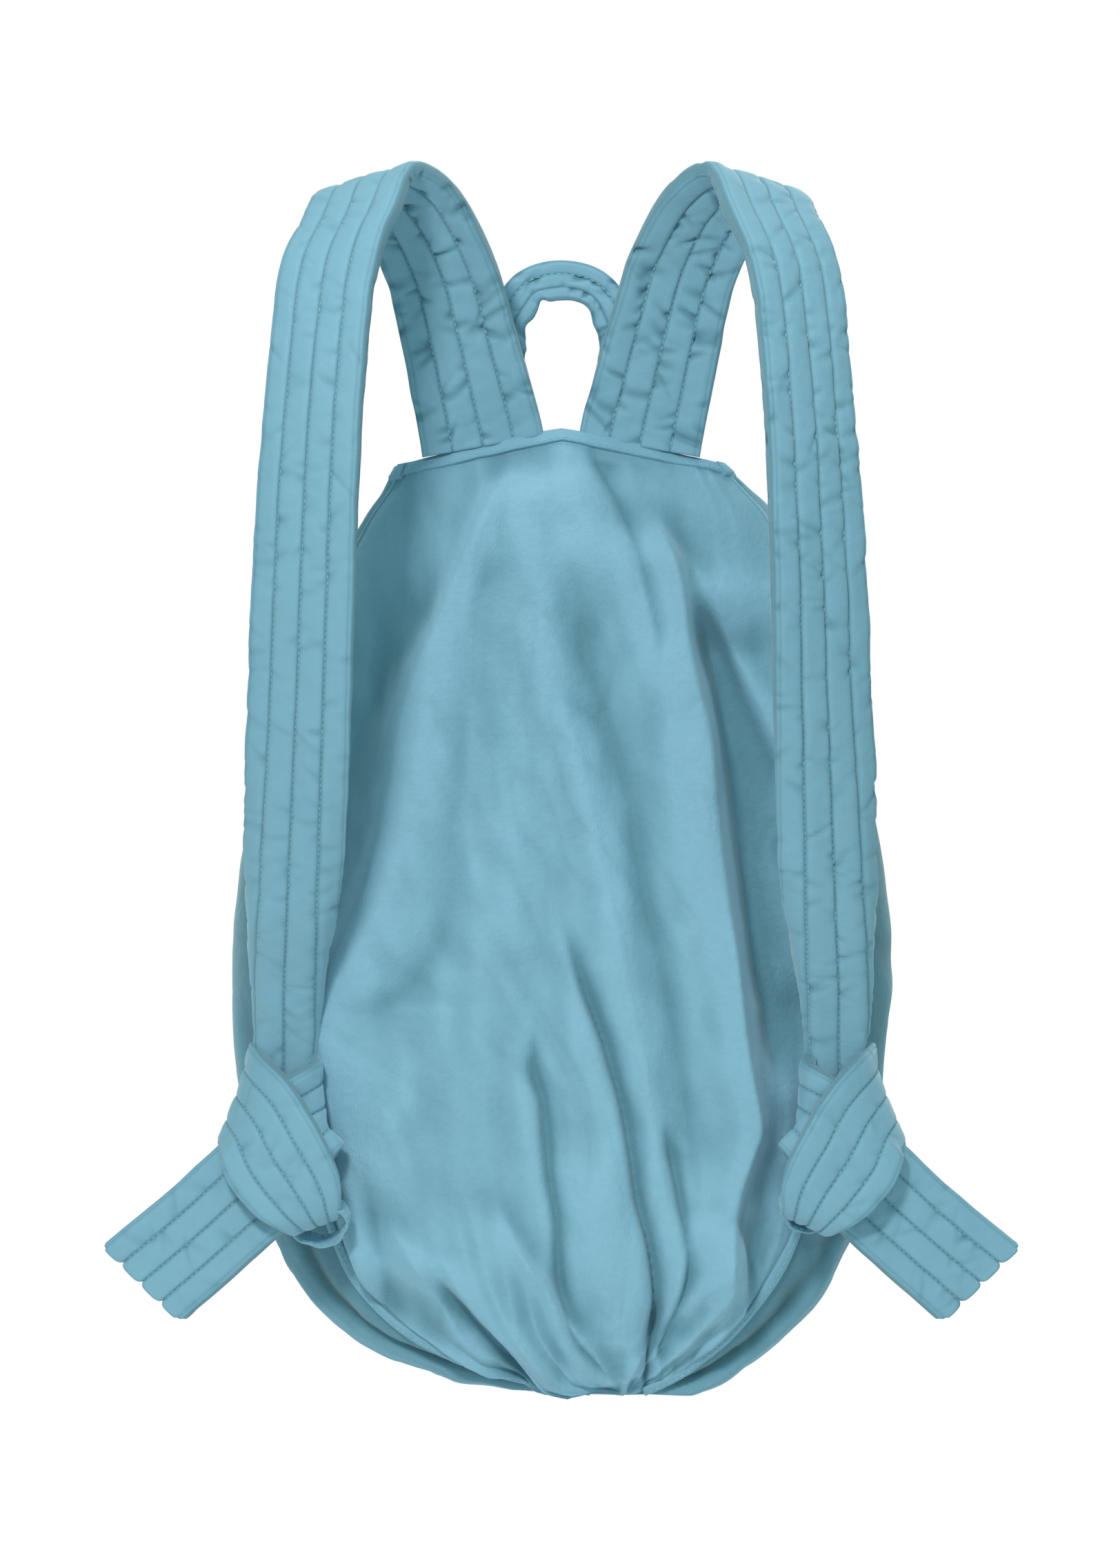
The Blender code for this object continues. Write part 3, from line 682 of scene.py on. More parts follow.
def even_rows(count, angle):
    """Places down the body, from 0 to 1, with even steps along its surface."""
    dense = np.linspace(0, 1, 800)
    points = plain_body(np.full_like(dense, angle), dense)
    run = np.concatenate([[0], np.cumsum(np.linalg.norm(np.diff(points, axis=0), axis=1))])
    return np.interp(np.linspace(0, run[-1], count + 1), run, dense), run[-1]


def fold_profile(away, sharpness):
    """The height across a fold, at distances in its reach, with flat facets or a curve."""
    if sharpness == 0:
        return np.clip(1 + FACET_ROUNDING - np.sqrt(away**2 + FACET_ROUNDING**2), 0, 1)
    return np.exp(-(np.abs(away) ** sharpness))


def back_relief(points):
    """How far the folds of the wearer's side move its points outwards, in metres."""
    x = points[..., 0] / HALF_WIDTH
    down = (TOP_Z - points[..., 2]) / BODY_HEIGHT
    moved = np.zeros_like(x)
    for _, height, left, right, sharpness, fade_in, fade_out, line in BACK_FOLDS:
        path = smooth_read(line, np.linspace(0, 1, 160))
        middle = np.interp(down, path[:, 1], path[:, 0])
        run = np.maximum(np.gradient(path[:, 1] * BODY_HEIGHT), 1e-5)
        slope = np.interp(down, path[:, 1], np.gradient(path[:, 0] * HALF_WIDTH) / run)
        wander = FOLD_WANDER * ripple(down * 9, np.full_like(down, len(line) * 1.7), 5)
        away = (x - middle - wander) * HALF_WIDTH / np.sqrt(1 + slope**2) * 1000
        away = away / np.where(away < 0, left, right)
        start, end = line[0][1], line[-1][1]
        begun = ease(start - FADE_EARLY, start + fade_in, down)
        ended = ease(end - FADE_EARLY, end + fade_out, down)
        moved += height / 1000 * (begun * (1 - ended)) * fold_profile(away, sharpness)
    return moved


def gathered_folds(share, at, seed):
    """Creased folds that run down a panel and draw together where it is gathered, in metres."""
    broad_count, fine_count, slant = 9, 19, 0.45
    broad_height, fine_height, upper_height = 0.0040, 0.0015, 0.0010
    sway = 0.05 * ripple(share * 4, at * 4, seed)
    low = ease(0.50, 0.92, at)
    skewed = at + slant * share
    broad = ripple((share + sway) * broad_count, skewed * 2.6, seed + 1)
    broad = 1 - CREASE_SHARPNESS * np.abs(broad)
    fine = ripple((share + sway) * fine_count, skewed * 6, seed + 2)
    fine = 1 - CREASE_SHARPNESS * np.abs(fine)
    return (broad_height * broad + fine_height * fine) * low + upper_height * broad * (1 - low)


def cloth_wrinkles(points, seed, strength=1.0):
    """Long soft wrinkles, small crumples and thin creases of hanging nylon, in metres."""
    x = points[..., 0]
    z = points[..., 2] + WRINKLE_SLANT * x
    sway = WRINKLE_SWAY * ripple(x / 0.09, z / 0.16, seed)
    moved = np.zeros_like(x)
    for height, width, length, swayed, own_seed in WRINKLES:
        moved += height * ripple((x + swayed * sway) / width, z / length, seed + own_seed)
    creased = ripple(x / 0.05, z / 0.08, seed + 5) * 0.5 + 0.5
    drift = x + 0.25 * z * ripple(x / 0.12, z / 0.12, seed + 6) + sway
    lines = 1 - np.abs(ripple(drift / 0.012, z / 0.030, seed + 7)) * CREASE_SHARPNESS
    moved -= CREASE_DEPTH * np.clip(lines, 0, 1) ** 1.5 * creased
    return strength * moved


def front_relief(share, at):
    """Gathers of the outer side, fine at the mouth and deep at the bottom, in metres."""
    broad_count, fine_count = 9, 23
    broad_height, fine_height = 0.006, 0.0016
    side_reach, mouth_reach, bottom_from = 0.08, 0.35, 0.45
    side = np.minimum(1.0, np.minimum(share / side_reach, (1 - share) / side_reach))
    at_mouth = np.maximum(0.0, 1 - at / mouth_reach)
    gathered = 0.55 * at_mouth + np.maximum(0.0, (at - bottom_from) / (1 - bottom_from))
    sway = 0.35 * ripple(share * 7, at * 3.0, 41)
    broad = np.cos(2 * math.pi * broad_count * share + 0.6 * np.sin(5 * share) + sway)
    fine = np.cos(2 * math.pi * fine_count * share + 2.5 * ripple(share * 9, at * 4, 42))
    return broad_height * gathered * side * broad + fine_height * gathered * side * fine


def softened(field, radius):
    """A grid of values smoothed over a radius in grid steps."""
    steps = np.arange(-3 * radius, 3 * radius + 1)
    weights = np.exp(-0.5 * (steps / radius) ** 2)
    weights = weights / weights.sum()
    for axis in (0, 1):
        padding = [(0, 0), (0, 0)]
        padding[axis] = (3 * radius, 3 * radius)
        padded = np.pad(field, padding, mode="edge")
        field = np.apply_along_axis(np.convolve, axis, padded, weights, "valid")
    return field


def panel_relief(is_back, points, share, at):
    """How far one panel's folds and wrinkles move its points outwards, in metres."""
    to_seam = np.minimum(share, 1 - share)
    top_calm = np.minimum(1.0, at / 0.03)
    if not is_back:
        wrinkles = cloth_wrinkles(points, 23, 0.9) * top_calm * ease(0.0, 0.05, to_seam)
        return front_relief(share, at) + wrinkles
    relief = back_relief(points) * top_calm
    relief = relief + cloth_wrinkles(points, 11) * np.minimum(1.0, at / 0.02)
    relief = (relief + gathered_folds(share, at, 71) * top_calm) * ease(0.0, 0.07, to_seam)
    handle_room = -0.0004 - 0.35 * np.maximum(0, at - HANDLE_FOOT_SHARE)
    return np.maximum(relief, handle_room)


def hollow_shade(relief):
    """Painted shade from how deep each place lies below its neighbours, from below 0 (painted light) on a
    ridge to 1 in a crease.
    """
    shade = DEEP_SHARE * np.clip(-relief, 0, 1) / DEEP_FULL
    for radius, share, full in PAINTED_HOLLOW_SHADE:
        shade = shade + share * (softened(relief, radius) - relief) / full
    return np.clip(shade, RIDGE_LIGHT, 1)


def panel_grid(is_back, columns, rows):
    """Points, normals, UVs and painted shade of one panel's outer face."""
    at, length = even_rows(rows, 1.5 * math.pi if is_back else 0.5 * math.pi)
    share = np.linspace(0, 1, columns + 1)
    at, share = np.meshgrid(at, share, indexing="ij")
    sections = smooth_read(SECTIONS, at)
    half_width, seam = sections[..., 0], sections[..., 4]
    start = math.pi + seam
    end = 2 * math.pi - seam if is_back else -seam
    angle = start + (end - start) * share
    points = plain_body(angle, at)
    normals = plain_normals(angle, at)
    calm = np.clip((half_width - GATHER_RADIUS) / (0.12 * BODY_WIDTH), 0, 1)
    relief = panel_relief(is_back, points, share, at)
    points = points + normals * (relief * calm)[..., None]
    uv = np.stack([share * 0.35, at * length], axis=-1)
    painted_shade = hollow_shade(relief) * calm
    if not is_back:
        # Painted shade on the outer side next to the side seams
        painted_shade = painted_shade + SEAM_SHADE * (1 - ease(0.03, 0.17, np.minimum(share, 1 - share)))
    return points, normals, uv, painted_shade


def store_painted_shade(obj, depth):
    """Stores each point's painted shade, how deep it lies in a crease, for the material to darken its
    colour by.
    """
    mark = obj.data.attributes.new("groove", "FLOAT", "POINT")
    mark.data.foreach_set("value", depth.ravel())


def make_panels(materials):
    """The two cloth walls of the body."""
    pieces = {}
    for name, (is_back, columns, rows) in PANELS.items():
        points, normals, uv, painted_shade = panel_grid(is_back, columns, rows)
        obj = grid_object(name + "_cloth", points, uv)
        store_painted_shade(obj, painted_shade)
        obj.data.update()
        outward = Vector(normals[rows // 2, columns // 2])
        middle = obj.data.polygons[(rows // 2) * columns + columns // 2]
        if middle.normal.dot(outward) < 0:
            obj.data.flip_normals()
        wall = obj.modifiers.new("wall", "SOLIDIFY")
        wall.thickness = CLOTH_WALL
        wall.offset = -1
        apply_modifiers(obj)
        place_piece(obj, "body_cloth", materials["body_cloth"], name)
        pieces[name] = (obj, points, normals)
    return pieces


# Quilted straps


def band_columns(channels):
    """Places across a band, from -0.5 to 0.5, closest at the stitch lines and the edges."""
    half = (0.0, 0.022, 0.06, 0.11, 0.15, 0.19, 0.25, 0.37)
    inside = np.array([*half, 0.5, 0.63, 0.75, 0.81, 0.85, 0.89, 0.94, 0.978])
    return np.append((np.arange(channels)[:, None] + inside).ravel(), channels) / channels - 0.5


def channel_profile(u, channels, seam_share, edge_share):
    """Half thickness of a quilted band across its width, with 1 in the middle of each channel."""
    place = (u + 0.5) * channels
    channel = np.clip(np.floor(place), 0, channels - 1)
    inside = place - channel
    low = np.where(channel == 0, edge_share, seam_share)
    high = np.where(channel == channels - 1, edge_share, seam_share)
    floor = low + (high - low) * inside
    dome = np.clip(1 - np.abs(2 * inside - 1) ** 3.6, 0, 1) ** 0.50
    return floor + (1 - floor) * dome - EDGE_NOTCH * edge_line(u, channels)


def edge_line(u, channels):
    """1 on the line where the side band of a quilted band is sewn, just inside each edge."""
    from_edge = (0.5 - np.abs(u)) * channels
    return np.exp(-(((from_edge - EDGE_PLACE) / EDGE_LINE) ** 2))


def band_path(rows, spacing):
    """Even stations along a band. Rows: middle, lean, width, thickness and curl in degrees."""
    dense = smooth_read(rows, np.linspace(0, 1, 3000))
    run = np.concatenate([[0], np.cumsum(np.linalg.norm(np.diff(dense[:, :3], axis=0), axis=1))])
    count = int(run[-1] / spacing)
    at = np.interp(np.linspace(0, run[-1], count + 1), run, np.linspace(0, 1, 3000))
    here = smooth_read(rows, at)
    along = unit(np.gradient(here[:, :3], axis=0))
    across = unit(here[:, 3:6] - along * np.sum(here[:, 3:6] * along, axis=1, keepdims=True))
    normal = np.cross(along, across)
    return here, across, normal, np.linspace(0, run[-1], count + 1)


def stitch_puckers(s, metres, width, channels, seed):
    """Short creases that start at the stitch lines, and longer ones across a channel, in metres."""
    chance = np.random.default_rng(seed)
    channel_width = width / channels
    dents = np.zeros(np.broadcast(s, metres).shape)
    length = s.max()
    for channel in range(channels):
        left = (channel / channels - 0.5) * width
        for place in chance.uniform(0, length, int(length / PUCKER_SPACING)):
            from_right = chance.integers(0, 2)
            reach = chance.uniform(*PUCKER_REACH) if chance.uniform() < SHORT_PUCKERS else LONG_REACH
            slope = chance.normal(0, PUCKER_SLOPE)
            depth = chance.uniform(0.25, 1.0) ** 1.3 * PUCKER_DEPTH
            half = chance.uniform(*PUCKER_HALF)
            rows = slice(*np.searchsorted(s[:, 0], (place - 0.02, place + 0.02)))
            inside = (metres[rows] - left[rows]) / channel_width[rows]
            inside = 1 - inside if from_right else inside
            away = s[rows] - place - slope * inside * channel_width[rows]
            away = np.where(away > 0, away / (2.2 * half), away / half)
            taper = np.clip(1 - inside / reach, 0, 1) ** 0.8 * ease(-0.01, 0.05, inside)
            dents[rows] += depth * taper * (inside < 1.01) * np.exp(-(away**2))
    return -dents


def bent_middle(here, across, normal, u, s, seed):
    """The middle surface of a band that curls at its edges, and the way it faces."""
    bow = np.radians(here[:, 8])[:, None] * np.sign(u) * ease(*FOLD_SPAN, np.abs(u))
    step = np.diff(u, prepend=u[0])
    centre = len(u) // 2
    side = np.cumsum(np.cos(bow) * step, axis=1)
    rise = np.cumsum(np.sin(bow) * step, axis=1)
    side = (side - side[:, centre : centre + 1]) * here[:, 6:7]
    rise = (rise - rise[:, centre : centre + 1]) * here[:, 6:7]
    side = side * (1 + 0.012 * ripple(s / 0.012, np.sign(u)[None, :] * 3.3 + 9, seed))
    middle = here[:, None, :3] + across[:, None] * side[..., None] + normal[:, None] * rise[..., None]
    facing = normal[:, None] * np.cos(bow)[..., None] - across[:, None] * np.sin(bow)[..., None]
    return middle, facing


def band_face(turn, strength, s, metres, width, channels, seed):
    """How far one face of a band moves outwards, by its creases alone and in all, in metres."""
    creases = stitch_puckers(s, metres, width, channels, seed + 10 + turn) * strength
    height, long, wide = SWELL
    swell = height * ripple(s / long, metres / wide, seed + 30 + turn)
    height, long, wide = CRUMPLE
    crumple = height * ripple(s / long, metres / wide, seed + 40 + turn) * (0.5 + strength)
    return creases, creases + swell + crumple


def quilted_band(
    name, rows, spacing, seed, pucker,
    channels=STRAP_CHANNELS, seam_share=0.56, edge_share=0.36, cut=(0.0, 0.0)
):
    """A padded band sewn in channels, and the lines of its stitches on both faces.

    Pucker is the strength of its creases on the face that it shows first and on the other.
    Cut is how far its channels bulge out at its last end, and how far that end is slanted.
    """
    here, across, normal, run = band_path(rows, spacing)
    u = band_columns(channels)
    s = run[:, None]
    width, thickness = here[:, 6:7], here[:, 7:8]
    middle, facing = bent_middle(here, across, normal, u, s, seed)
    profile = channel_profile(u, channels, seam_share, edge_share)
    bulge, slant = cut
    to_end = bulge * (np.maximum(profile, seam_share) - 1) + slant * u
    to_end = to_end * ease(s[-1] - CUT_REACH, s[-1], s)
    middle = middle + np.cross(across, normal)[:, None] * to_end[..., None]
    metres = u[None, :] * width
    to_stitch = np.abs(((u + 0.5) * channels + 0.5) % 1 - 0.5)[None, :] * width / channels
    # Painted shade along the stitch lines and the side band's stitch line
    sewn = np.exp(-((to_stitch / 0.0008) ** 2)) * 0.8 + edge_line(u, channels) * 0.45
    calm = np.minimum(1, (profile - edge_share * 0.8) / 0.35).clip(0, 1)
    faces, uvs, painted_shades = [], [], []
    for turn, strength in zip((1, -1), pucker):
        creases, moved = band_face(turn, strength, s, metres, width, channels, seed)
        half = np.maximum(profile * thickness / 2 + moved * calm, LEAST_HALF)
        faces.append(middle + facing * (turn * half)[..., None])
        uvs.append(np.stack(np.broadcast_arrays(metres + 0.1 * turn, s), axis=-1))
        # Painted shade in the stitch lines and in the creases of this face
        painted_shades.append(sewn + np.clip(-creases / 0.0018, 0, 1) * 0.60)
    ring, uv, groove = (
        np.concatenate([front, back[:, ::-1]], axis=1) for front, back in (faces, uvs, painted_shades)
    )
    obj = grid_object(name, ring, uv, closed_across=True, caps=True)
    store_painted_shade(obj, np.clip(groove, 0, 1))
    lines = []
    for column in range(len(u) // channels, len(u) - 1, len(u) // channels):
        for face, turn in zip(faces, (1, -1)):
            lines.append((face[:, column] + facing[:, column] * turn * STITCH_RADIUS * 0.5)[3:-3])
    return obj, lines


def knot_place(middle, inward, up, layer):
    """A place in the left knot, whose outer side sweeps back round the body."""
    inward = inward * STRAP_WIDTH
    return middle + np.array([inward, -layer * KNOT_LAYER - inward * KNOT_SWEEP, up * STRAP_WIDTH])


def knot_rows(middle):
    """The turn of the left knot and its tail."""
    rows = []
    for inward, up, layer, lean_in, lean_up, width, thickness in KNOT_ROWS:
        place = knot_place(middle, inward, up, layer)
        lean = (lean_in, -lean_in * KNOT_SWEEP, lean_up)
        rows.append((*place, *lean, width * STRAP_WIDTH, thickness * KNOT_LAYER, 0))
    return rows


def knot_middle():
    """The middle of the left knot. Its depth comes from the box of the frame's knot."""
    middle = np.array([-KNOT_OUT_SHARE * HALF_WIDTH, 0, TOP_Z - KNOT_DOWN_SHARE * BODY_HEIGHT])
    here, across, normal, _ = band_path(knot_rows(middle), 0.004)
    reach = np.abs(across[:, 1]) * here[:, 6] / 2 + np.abs(normal[:, 1]) * here[:, 7] / 2
    low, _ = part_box("strap_knot_left")
    middle[1] = low.y - np.min(here[:, 1] - reach)
    return middle


def strap_rows(knot):
    """The left strap down to the knot."""
    edge_share = STRAP_BASE_OFFSET / (TOP_SEAM_WIDTH / 2)
    drop = TOP_SEAM_DROP * edge_share**CROWN_POWER - 0.0005
    base = np.array([-STRAP_BASE_OFFSET, TOP_Y, TOP_Z - drop])
    arch = np.array([-ARCH_SPREAD / 2, 0, TOP_Z + STRAP_RISE])
    rows = []
    for across, up, forward, lean_back, lean_down, width, thickness, curl in RISE_ROWS:
        middle = base + (arch - base) * np.array([across, forward, up])
        rows.append((*middle, -1, lean_back, -lean_down, width * STRAP_WIDTH, thickness * STRAP_LOFT, curl))
    for across, down, reach, back, lean_back, lean_down, width, thickness, curl in FALL_ROWS:
        x = arch[0] + (knot[0] - arch[0]) * across
        y = -CHEST_REACH * reach + knot[1] * back
        z = arch[2] + (knot[2] - arch[2]) * down
        rows.append((x, y, z, -1, lean_back, -lean_down, width * STRAP_WIDTH, thickness * STRAP_LOFT, curl))
    return rows


def mirror_rows(rows):
    """The same band on the right side."""
    return [(-x, y, z, -lean, *more, -curl) for x, y, z, lean, *more, curl in rows]


def lean_more(rows):
    """The front run of a strap turned a little more about its length."""
    front = len(RISE_ROWS)
    shares = [0.0] * front + list(RIGHT_LEAN_SHARES)
    shares += [0.0] * (len(rows) - len(shares))
    return [(*row[:4], row[4] + RIGHT_STRAP_LEAN * share, *row[5:]) for row, share in zip(rows, shares)]


def make_straps(materials):
    """Both shoulder straps and both knots, with their stitch lines."""
    knot = knot_middle()
    lines = []
    for side, seed in (("left", 100), ("right", 200)):
        strap, turn = strap_rows(knot), knot_rows(knot)
        if side == "right":
            strap, turn = mirror_rows(lean_more(strap)), mirror_rows(turn)
        obj, made = quilted_band(f"strap_{side}_quilted", strap, 0.0014, seed, FACE_PUCKERS[side])
        place_piece(obj, "quilted_cloth", materials["quilted_cloth"], f"shoulder_strap_{side}")
        lines += made
        obj, made = quilted_band(
            f"knot_{side}_quilted", turn, 0.0012, seed + 50, KNOT_PUCKERS, seam_share=0.66, cut=TAIL_CUT
        )
        place_piece(obj, "quilted_cloth", materials["quilted_cloth"], f"strap_knot_{side}")
        lines += made
    return lines


# Stitches


def stitch_tree():
    """Geometry Nodes that lay short threads along a mesh's edges, and what their inputs are called."""
    tree = bpy.data.node_groups.new("stitch_rows", "GeometryNodeTree")
    tree.interface.new_socket("Geometry", in_out="INPUT", socket_type="NodeSocketGeometry")
    kinds = {"Pitch": "Float", "Length": "Float", "Radius": "Float", "Thread": "Material"}
    inputs = {}
    for label, kind in kinds.items():
        socket = tree.interface.new_socket(label, in_out="INPUT", socket_type="NodeSocket" + kind)
        inputs[label] = socket.identifier
    tree.interface.new_socket("Geometry", in_out="OUTPUT", socket_type="NodeSocketGeometry")
    given = tree.nodes.new("NodeGroupInput")
    result = tree.nodes.new("NodeGroupOutput")
    curve = tree.nodes.new("GeometryNodeMeshToCurve")
    points = tree.nodes.new("GeometryNodeCurveToPoints")
    points.mode = "LENGTH"
    thread = tree.nodes.new("GeometryNodeMeshUVSphere")
    thread.inputs["Segments"].default_value = 5
    thread.inputs["Rings"].default_value = 4
    thread.inputs["Radius"].default_value = 1.0
    size = tree.nodes.new("ShaderNodeCombineXYZ")
    half = tree.nodes.new("ShaderNodeMath")
    half.operation = "MULTIPLY"
    half.inputs[1].default_value = 0.5
    stamp = tree.nodes.new("GeometryNodeInstanceOnPoints")
    real = tree.nodes.new("GeometryNodeRealizeInstances")
    finish = tree.nodes.new("GeometryNodeSetMaterial")
    for source, given_by, target, taken_by in (
        (given, "Geometry", curve, "Mesh"),
        (curve, "Curve", points, "Curve"),
        (given, "Pitch", points, "Length"),
        (points, "Points", stamp, "Points"),
        (points, "Rotation", stamp, "Rotation"),
        (thread, "Mesh", stamp, "Instance"),
        (given, "Radius", size, "X"),
        (given, "Radius", size, "Y"),
        (given, "Length", half, 0),
        (half, 0, size, "Z"),
        (size, 0, stamp, "Scale"),
        (stamp, "Instances", real, "Geometry"),
        (real, "Geometry", finish, "Geometry"),
        (given, "Thread", finish, "Material"),
        (finish, "Geometry", result, "Geometry"),
    ):
        tree.links.new(source.outputs[given_by], target.inputs[taken_by])
    return tree, inputs


def stitch_rows(name, lines, pitch, tree, inputs, thread):
    """Stitches along lines of points, baked to a plain mesh."""
    corners, edges, first = [], [], 0
    for line in lines:
        corners += [tuple(point) for point in line]
        edges += [(first + i, first + i + 1) for i in range(len(line) - 1)]
        first += len(line)
    mesh = bpy.data.meshes.new(name)
    mesh.from_pydata(corners, edges, [])
    obj = add_object(name, mesh)
    nodes = obj.modifiers.new("stitches", "NODES")
    nodes.node_group = tree
    nodes[inputs["Pitch"]] = pitch
    nodes[inputs["Length"]] = pitch * STITCH_SHARE
    nodes[inputs["Radius"]] = STITCH_RADIUS
    nodes[inputs["Thread"]] = thread
    apply_modifiers(obj)
    obj.data.shade_smooth()
    return place_piece(obj, "trim_tape", None)


# Trim


def soft_loft(name, centres, across, normal, width, height, power, around=20, closed=False):
    """A soft tube of rounded-box section along a path, with a UV map.

    Its width and height are one value, or one for each place on the path.
    """
    turn = np.linspace(0, 2 * math.pi, around, endpoint=False)
    side = signed_power(np.cos(turn), 2 / power)[None, :, None]
    rise = signed_power(np.sin(turn), 2 / power)[None, :, None]
    width, height = (np.broadcast_to(size, len(centres))[:, None, None] for size in (width, height))
    points = centres[:, None] + across[:, None] * (side * width / 2) + normal[:, None] * (rise * height / 2)
    run = np.concatenate([[0], np.cumsum(np.linalg.norm(np.diff(centres, axis=0), axis=1))])
    uv = np.stack(np.meshgrid(run, turn * 0.004, indexing="ij")[::-1], axis=-1)
    if closed:
        points = np.concatenate([points, points[:1]])
        uv = np.concatenate([uv, uv[:1]])
    obj = grid_object(name, points, uv, closed_across=True, caps=not closed)
    if closed:
        shape = bmesh.new()
        shape.from_mesh(obj.data)
        bmesh.ops.remove_doubles(shape, verts=shape.verts, dist=1e-6)
        bmesh.ops.recalc_face_normals(shape, faces=shape.faces)
        shape.to_mesh(obj.data)
        shape.free()
    return obj


def make_top_band(materials, back):
    """The tape folded over the top edge of the wearer's side, and its stitch line."""
    over_rim, off_wall, end_tuck, taller_end = 0.0016, 0.0006, 0.0012, 0.0008
    _, points, normals = back
    rim, below = points[0], points[4]
    down = unit(below - rim)
    out = unit(normals[0])
    sag = 0.0005 * ripple(rim[:, 0] / 0.012, rim[:, 0] * 0 + 2, 71)
    centres = rim + down * (BAND_HEIGHT / 2 - over_rim) + out * (off_wall + sag[:, None])
    obj = soft_loft("top_band_tape", centres, down, out, BAND_HEIGHT, TAPE_THICKNESS, 4.5)
    place_piece(obj, "trim_tape", materials["trim_tape"], "top_band")
    for side, ends in (("left", slice(0, BAND_END)), ("right", slice(-BAND_END, None))):
        tucked = centres[ends] + down[ends] * end_tuck + out[ends] * end_tuck
        size = (BAND_HEIGHT + taller_end, TAPE_THICKNESS)
        obj = soft_loft(f"top_band_end_{side}", tucked, down[ends], out[ends], *size, 6.0)
        place_piece(obj, "trim_tape", materials["trim_tape"])
    return [centres + down * BAND_HEIGHT * 0.24 + out * (TAPE_THICKNESS / 2)]


def make_side_seams(materials, front):
    """Rolled seams where the two panels meet, from the mouth to the gathers."""
    roll_width, uneven_width, roll_height = 0.0062, 0.0012, 0.0030
    least_share, lift, stitch_lift, stitched_from = 0.32, 0.0009, 0.0016, 0.42
    _, points, normals = front
    lines = []
    for side, column in (("left", 0), ("right", -1)):
        edge = points[2:-3, column]
        out = normals[2:-3, column]
        along = unit(np.gradient(edge, axis=0))
        across = unit(np.cross(along, out))
        share = np.linspace(0, 1, len(edge))
        grown = least_share + (1 - least_share) * ease(0.25, 0.50, share)
        width = (roll_width + uneven_width * ripple(share * 23, share * 0, 61)) * grown
        centres = edge + out * (lift * grown)[:, None]
        obj = soft_loft(f"side_seam_{side}", centres, across, out, width, roll_height * grown, 2.4, 14)
        place_piece(obj, "body_cloth", materials["body_cloth"])
        lines.append((centres + out * stitch_lift)[share > stitched_from])
    return lines


def make_mouth_hem(materials, front):
    """The turned hem along the front rim of the mouth."""
    height, thickness, below_rim, inwards, stitch_down = 0.0084, 0.0026, 0.0036, 0.0006, 0.0026
    _, points, normals = front
    rim = points[0]
    down = unit(points[4] - rim)
    out = unit(normals[0])
    centres = rim + down * below_rim - out * inwards
    obj = soft_loft("mouth_hem", centres, down, out, height, thickness, 4.0, 16)
    place_piece(obj, "body_cloth", materials["body_cloth"])
    return [centres + down * stitch_down + out * (thickness / 2)]


def pinch_fold(obj, heart):
    """Draws the inner edge of the carry handle in and out, as a padded roll does where it bends."""
    inner_from, inner_full, wave_height = 0.036, 0.020, 0.0016
    pinch_depth, pinch_turn, pinch_width = 0.0032, 1.95, 0.10
    for corner in obj.data.vertices:
        out = np.array([corner.co.x, 0, corner.co.z - heart])
        reach = np.linalg.norm(out)
        turn = math.atan2(out[2], out[0])
        inner = float(ease(inner_from, inner_full, reach))
        wave = wave_height * float(ripple(np.array([turn * 3.1]), np.array([4.0]), 88)[0])
        pinch = pinch_depth * math.exp(-(((turn - pinch_turn) / pinch_width) ** 2))
        corner.co += Vector(out / max(reach, 1e-6) * (wave + pinch) * inner)


def make_handle(materials):
    """The padded carry handle."""
    heart = TOP_Z + 0.55 * HANDLE_RISE
    rows = []
    for across, up, back, width in HANDLE_ROWS:
        x, z = across * HANDLE_SPREAD / 2, TOP_Z + up * HANDLE_RISE
        lean = unit(np.array([x, 0, max(z - heart, 0)]))
        y = TOP_Y + back * HANDLE_THICKNESS
        rows.append((x, y, z, *lean, width * HANDLE_WIDTH, HANDLE_THICKNESS, 0))
    obj, lines = quilted_band("carry_handle_padded", rows, 0.0010, 300, (1.1, 1.1), 3, 0.84, 0.3)
    pinch_fold(obj, heart)
    place_piece(obj, "trim_tape", materials["quilted_cloth"], "carry_handle")
    return [line for line in lines if np.abs(line[len(line) // 2, 2] - TOP_Z) > HANDLE_RISE]


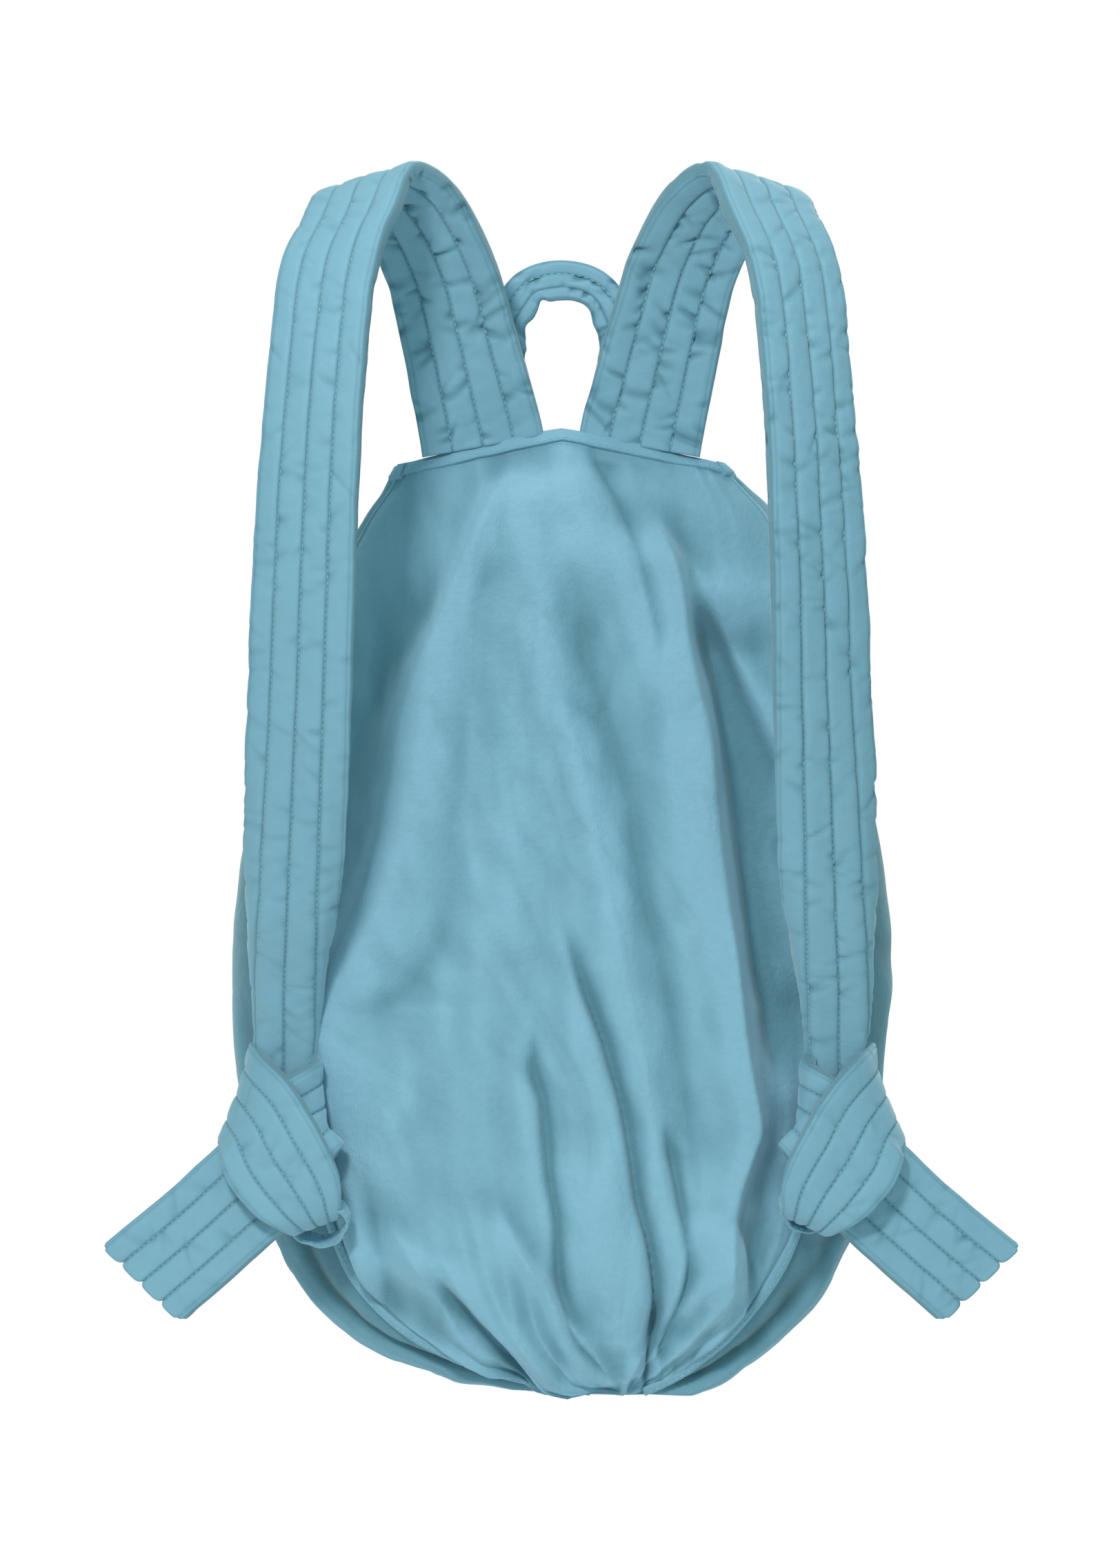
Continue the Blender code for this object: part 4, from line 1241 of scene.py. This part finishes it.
def make_side_loops(materials):
    """The topstitched cloth loops in the side seams that hold the knots."""
    roundness, sewn_depth, sewn_width = 0.8, -0.0035, 0.12
    half_width, half_depth = LOOP_SPREAD
    turn = np.linspace(0, 2 * math.pi, 72, endpoint=False)
    lines = []
    for side, sign in (("left", -1), ("right", 1)):
        low, high = (np.array(corner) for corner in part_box(f"side_loop_{side}"))
        middle = (low + high) / 2 + np.array(LOOP_SHIFT) * (sign, 1, 1)
        if side == "right":
            middle = middle + np.array(RIGHT_LOOP_SHIFT)
        along = unit(np.array([sign * 0.10, -0.78, -0.60]))
        across = unit(np.cross(along, np.array([0.30 * sign, 0, 1.0])))
        inwards = np.cross(along, across)
        inwards = inwards * np.sign(inwards[2])
        spread = signed_power(np.cos(turn), roundness)[:, None] * across * half_width
        depth = signed_power(np.sin(turn), roundness)[:, None] * inwards * half_depth
        sewn = np.exp(-(((np.sin(turn) + 1) / sewn_width) ** 2))[:, None] * inwards * sewn_depth
        centres = middle + spread + depth + sewn
        outward = unit(spread / half_width + depth / half_depth)
        ahead = np.repeat(along[None], len(turn), axis=0)
        name = f"side_loop_{side}"
        obj = soft_loft(f"{name}_tape", centres, ahead, outward, LOOP_HEIGHT, LOOP_WALL, 5.0, closed=True)
        place_piece(obj, "trim_tape", materials["trim_tape"], name)
        ring = np.concatenate([centres, centres[:1]])
        out = np.concatenate([outward, outward[:1]])
        for edge in (-0.34, 0.34):
            for face in (-0.5, 0.5):
                lines.append(ring + along * LOOP_HEIGHT * edge + out * LOOP_WALL * face)
    return lines


# Stage


def add_stage():
    """A pale floor, a white surround and soft lights."""
    floor_radius, floor_height, floor_colour = 1.3, -0.83, (0.86, 0.86, 0.86, 1)
    floor_mesh = bpy.data.meshes.new("floor")
    disc = bmesh.new()
    bmesh.ops.create_circle(disc, cap_ends=True, radius=floor_radius, segments=96)
    bmesh.ops.translate(disc, verts=disc.verts, vec=(0, 0, floor_height))
    disc.to_mesh(floor_mesh)
    disc.free()
    floor = add_object("floor", floor_mesh)
    pale = bpy.data.materials.new("pale_floor")
    pale.use_nodes = True
    shader = pale.node_tree.nodes["Principled BSDF"]
    shader.inputs["Base Color"].default_value = floor_colour
    shader.inputs["Roughness"].default_value = 0.9
    floor_mesh.materials.append(pale)

    world = bpy.data.worlds.new("studio")
    bpy.context.scene.world = world
    world.use_nodes = True
    tree = world.node_tree
    backdrop = tree.nodes["Background"]
    backdrop.inputs["Color"].default_value = (1, 1, 1, 1)
    ambient = tree.nodes.new("ShaderNodeBackground")
    ambient.inputs["Color"].default_value = AMBIENT_COLOUR
    ambient.inputs["Strength"].default_value = AMBIENT_STRENGTH
    seen = tree.nodes.new("ShaderNodeLightPath")
    mix = tree.nodes.new("ShaderNodeMixShader")
    tree.links.new(seen.outputs["Is Camera Ray"], mix.inputs["Fac"])
    tree.links.new(ambient.outputs[0], mix.inputs[1])
    tree.links.new(backdrop.outputs[0], mix.inputs[2])
    tree.links.new(mix.outputs[0], tree.nodes["World Output"].inputs["Surface"])

    target = Vector((0, 0.05, -0.30))
    for name, (place, size, power) in LIGHTS.items():
        data = bpy.data.lights.new(name, "AREA")
        data.size = size
        data.energy = power
        lamp = add_object(name, data)
        lamp.location = place
        lamp.rotation_euler = (target - Vector(place)).to_track_quat("-Z", "Y").to_euler()


def add_camera():
    """A long lens straight at the wearer's side, framed as in the photo."""
    metres_per_pixel = 0.000358
    frame_width, frame_height = 1624, 2274
    centre_x, body_bottom_row, body_middle_column = frame_width / 2, 2021, 814
    distance, sharp_depth = 10.0, 0.10
    data = bpy.data.cameras.new("camera")
    data.sensor_fit = "VERTICAL"
    data.sensor_height = 36
    data.sensor_width = 36
    data.lens = data.sensor_height * (distance + sharp_depth) / (frame_height * metres_per_pixel)
    data.clip_end = 60
    camera = add_object("camera", data)
    height = TOP_Z - BODY_HEIGHT + (body_bottom_row - frame_height / 2) * metres_per_pixel
    side = (centre_x - body_middle_column) * metres_per_pixel
    camera.location = (side, -distance, height)
    camera.rotation_euler = (math.radians(90), 0, 0)
    bpy.context.scene.camera = camera
    bpy.context.scene.view_settings.view_transform = "Standard"


def main():
    add_camera()
    add_stage()
    materials = make_materials()
    panels = make_panels(materials)
    quilt_lines = make_straps(materials)
    trim_lines = make_top_band(materials, panels["back_panel"])
    trim_lines += make_side_seams(materials, panels["front_panel"])
    trim_lines += make_mouth_hem(materials, panels["front_panel"])
    trim_lines += make_handle(materials)
    trim_lines += make_side_loops(materials)
    tree, inputs = stitch_tree()
    stitch_rows("quilt_stitches", quilt_lines, QUILT_PITCH, tree, inputs, materials["thread"])
    stitch_rows("trim_stitches", trim_lines, TRIM_PITCH, tree, inputs, materials["thread"])


main()
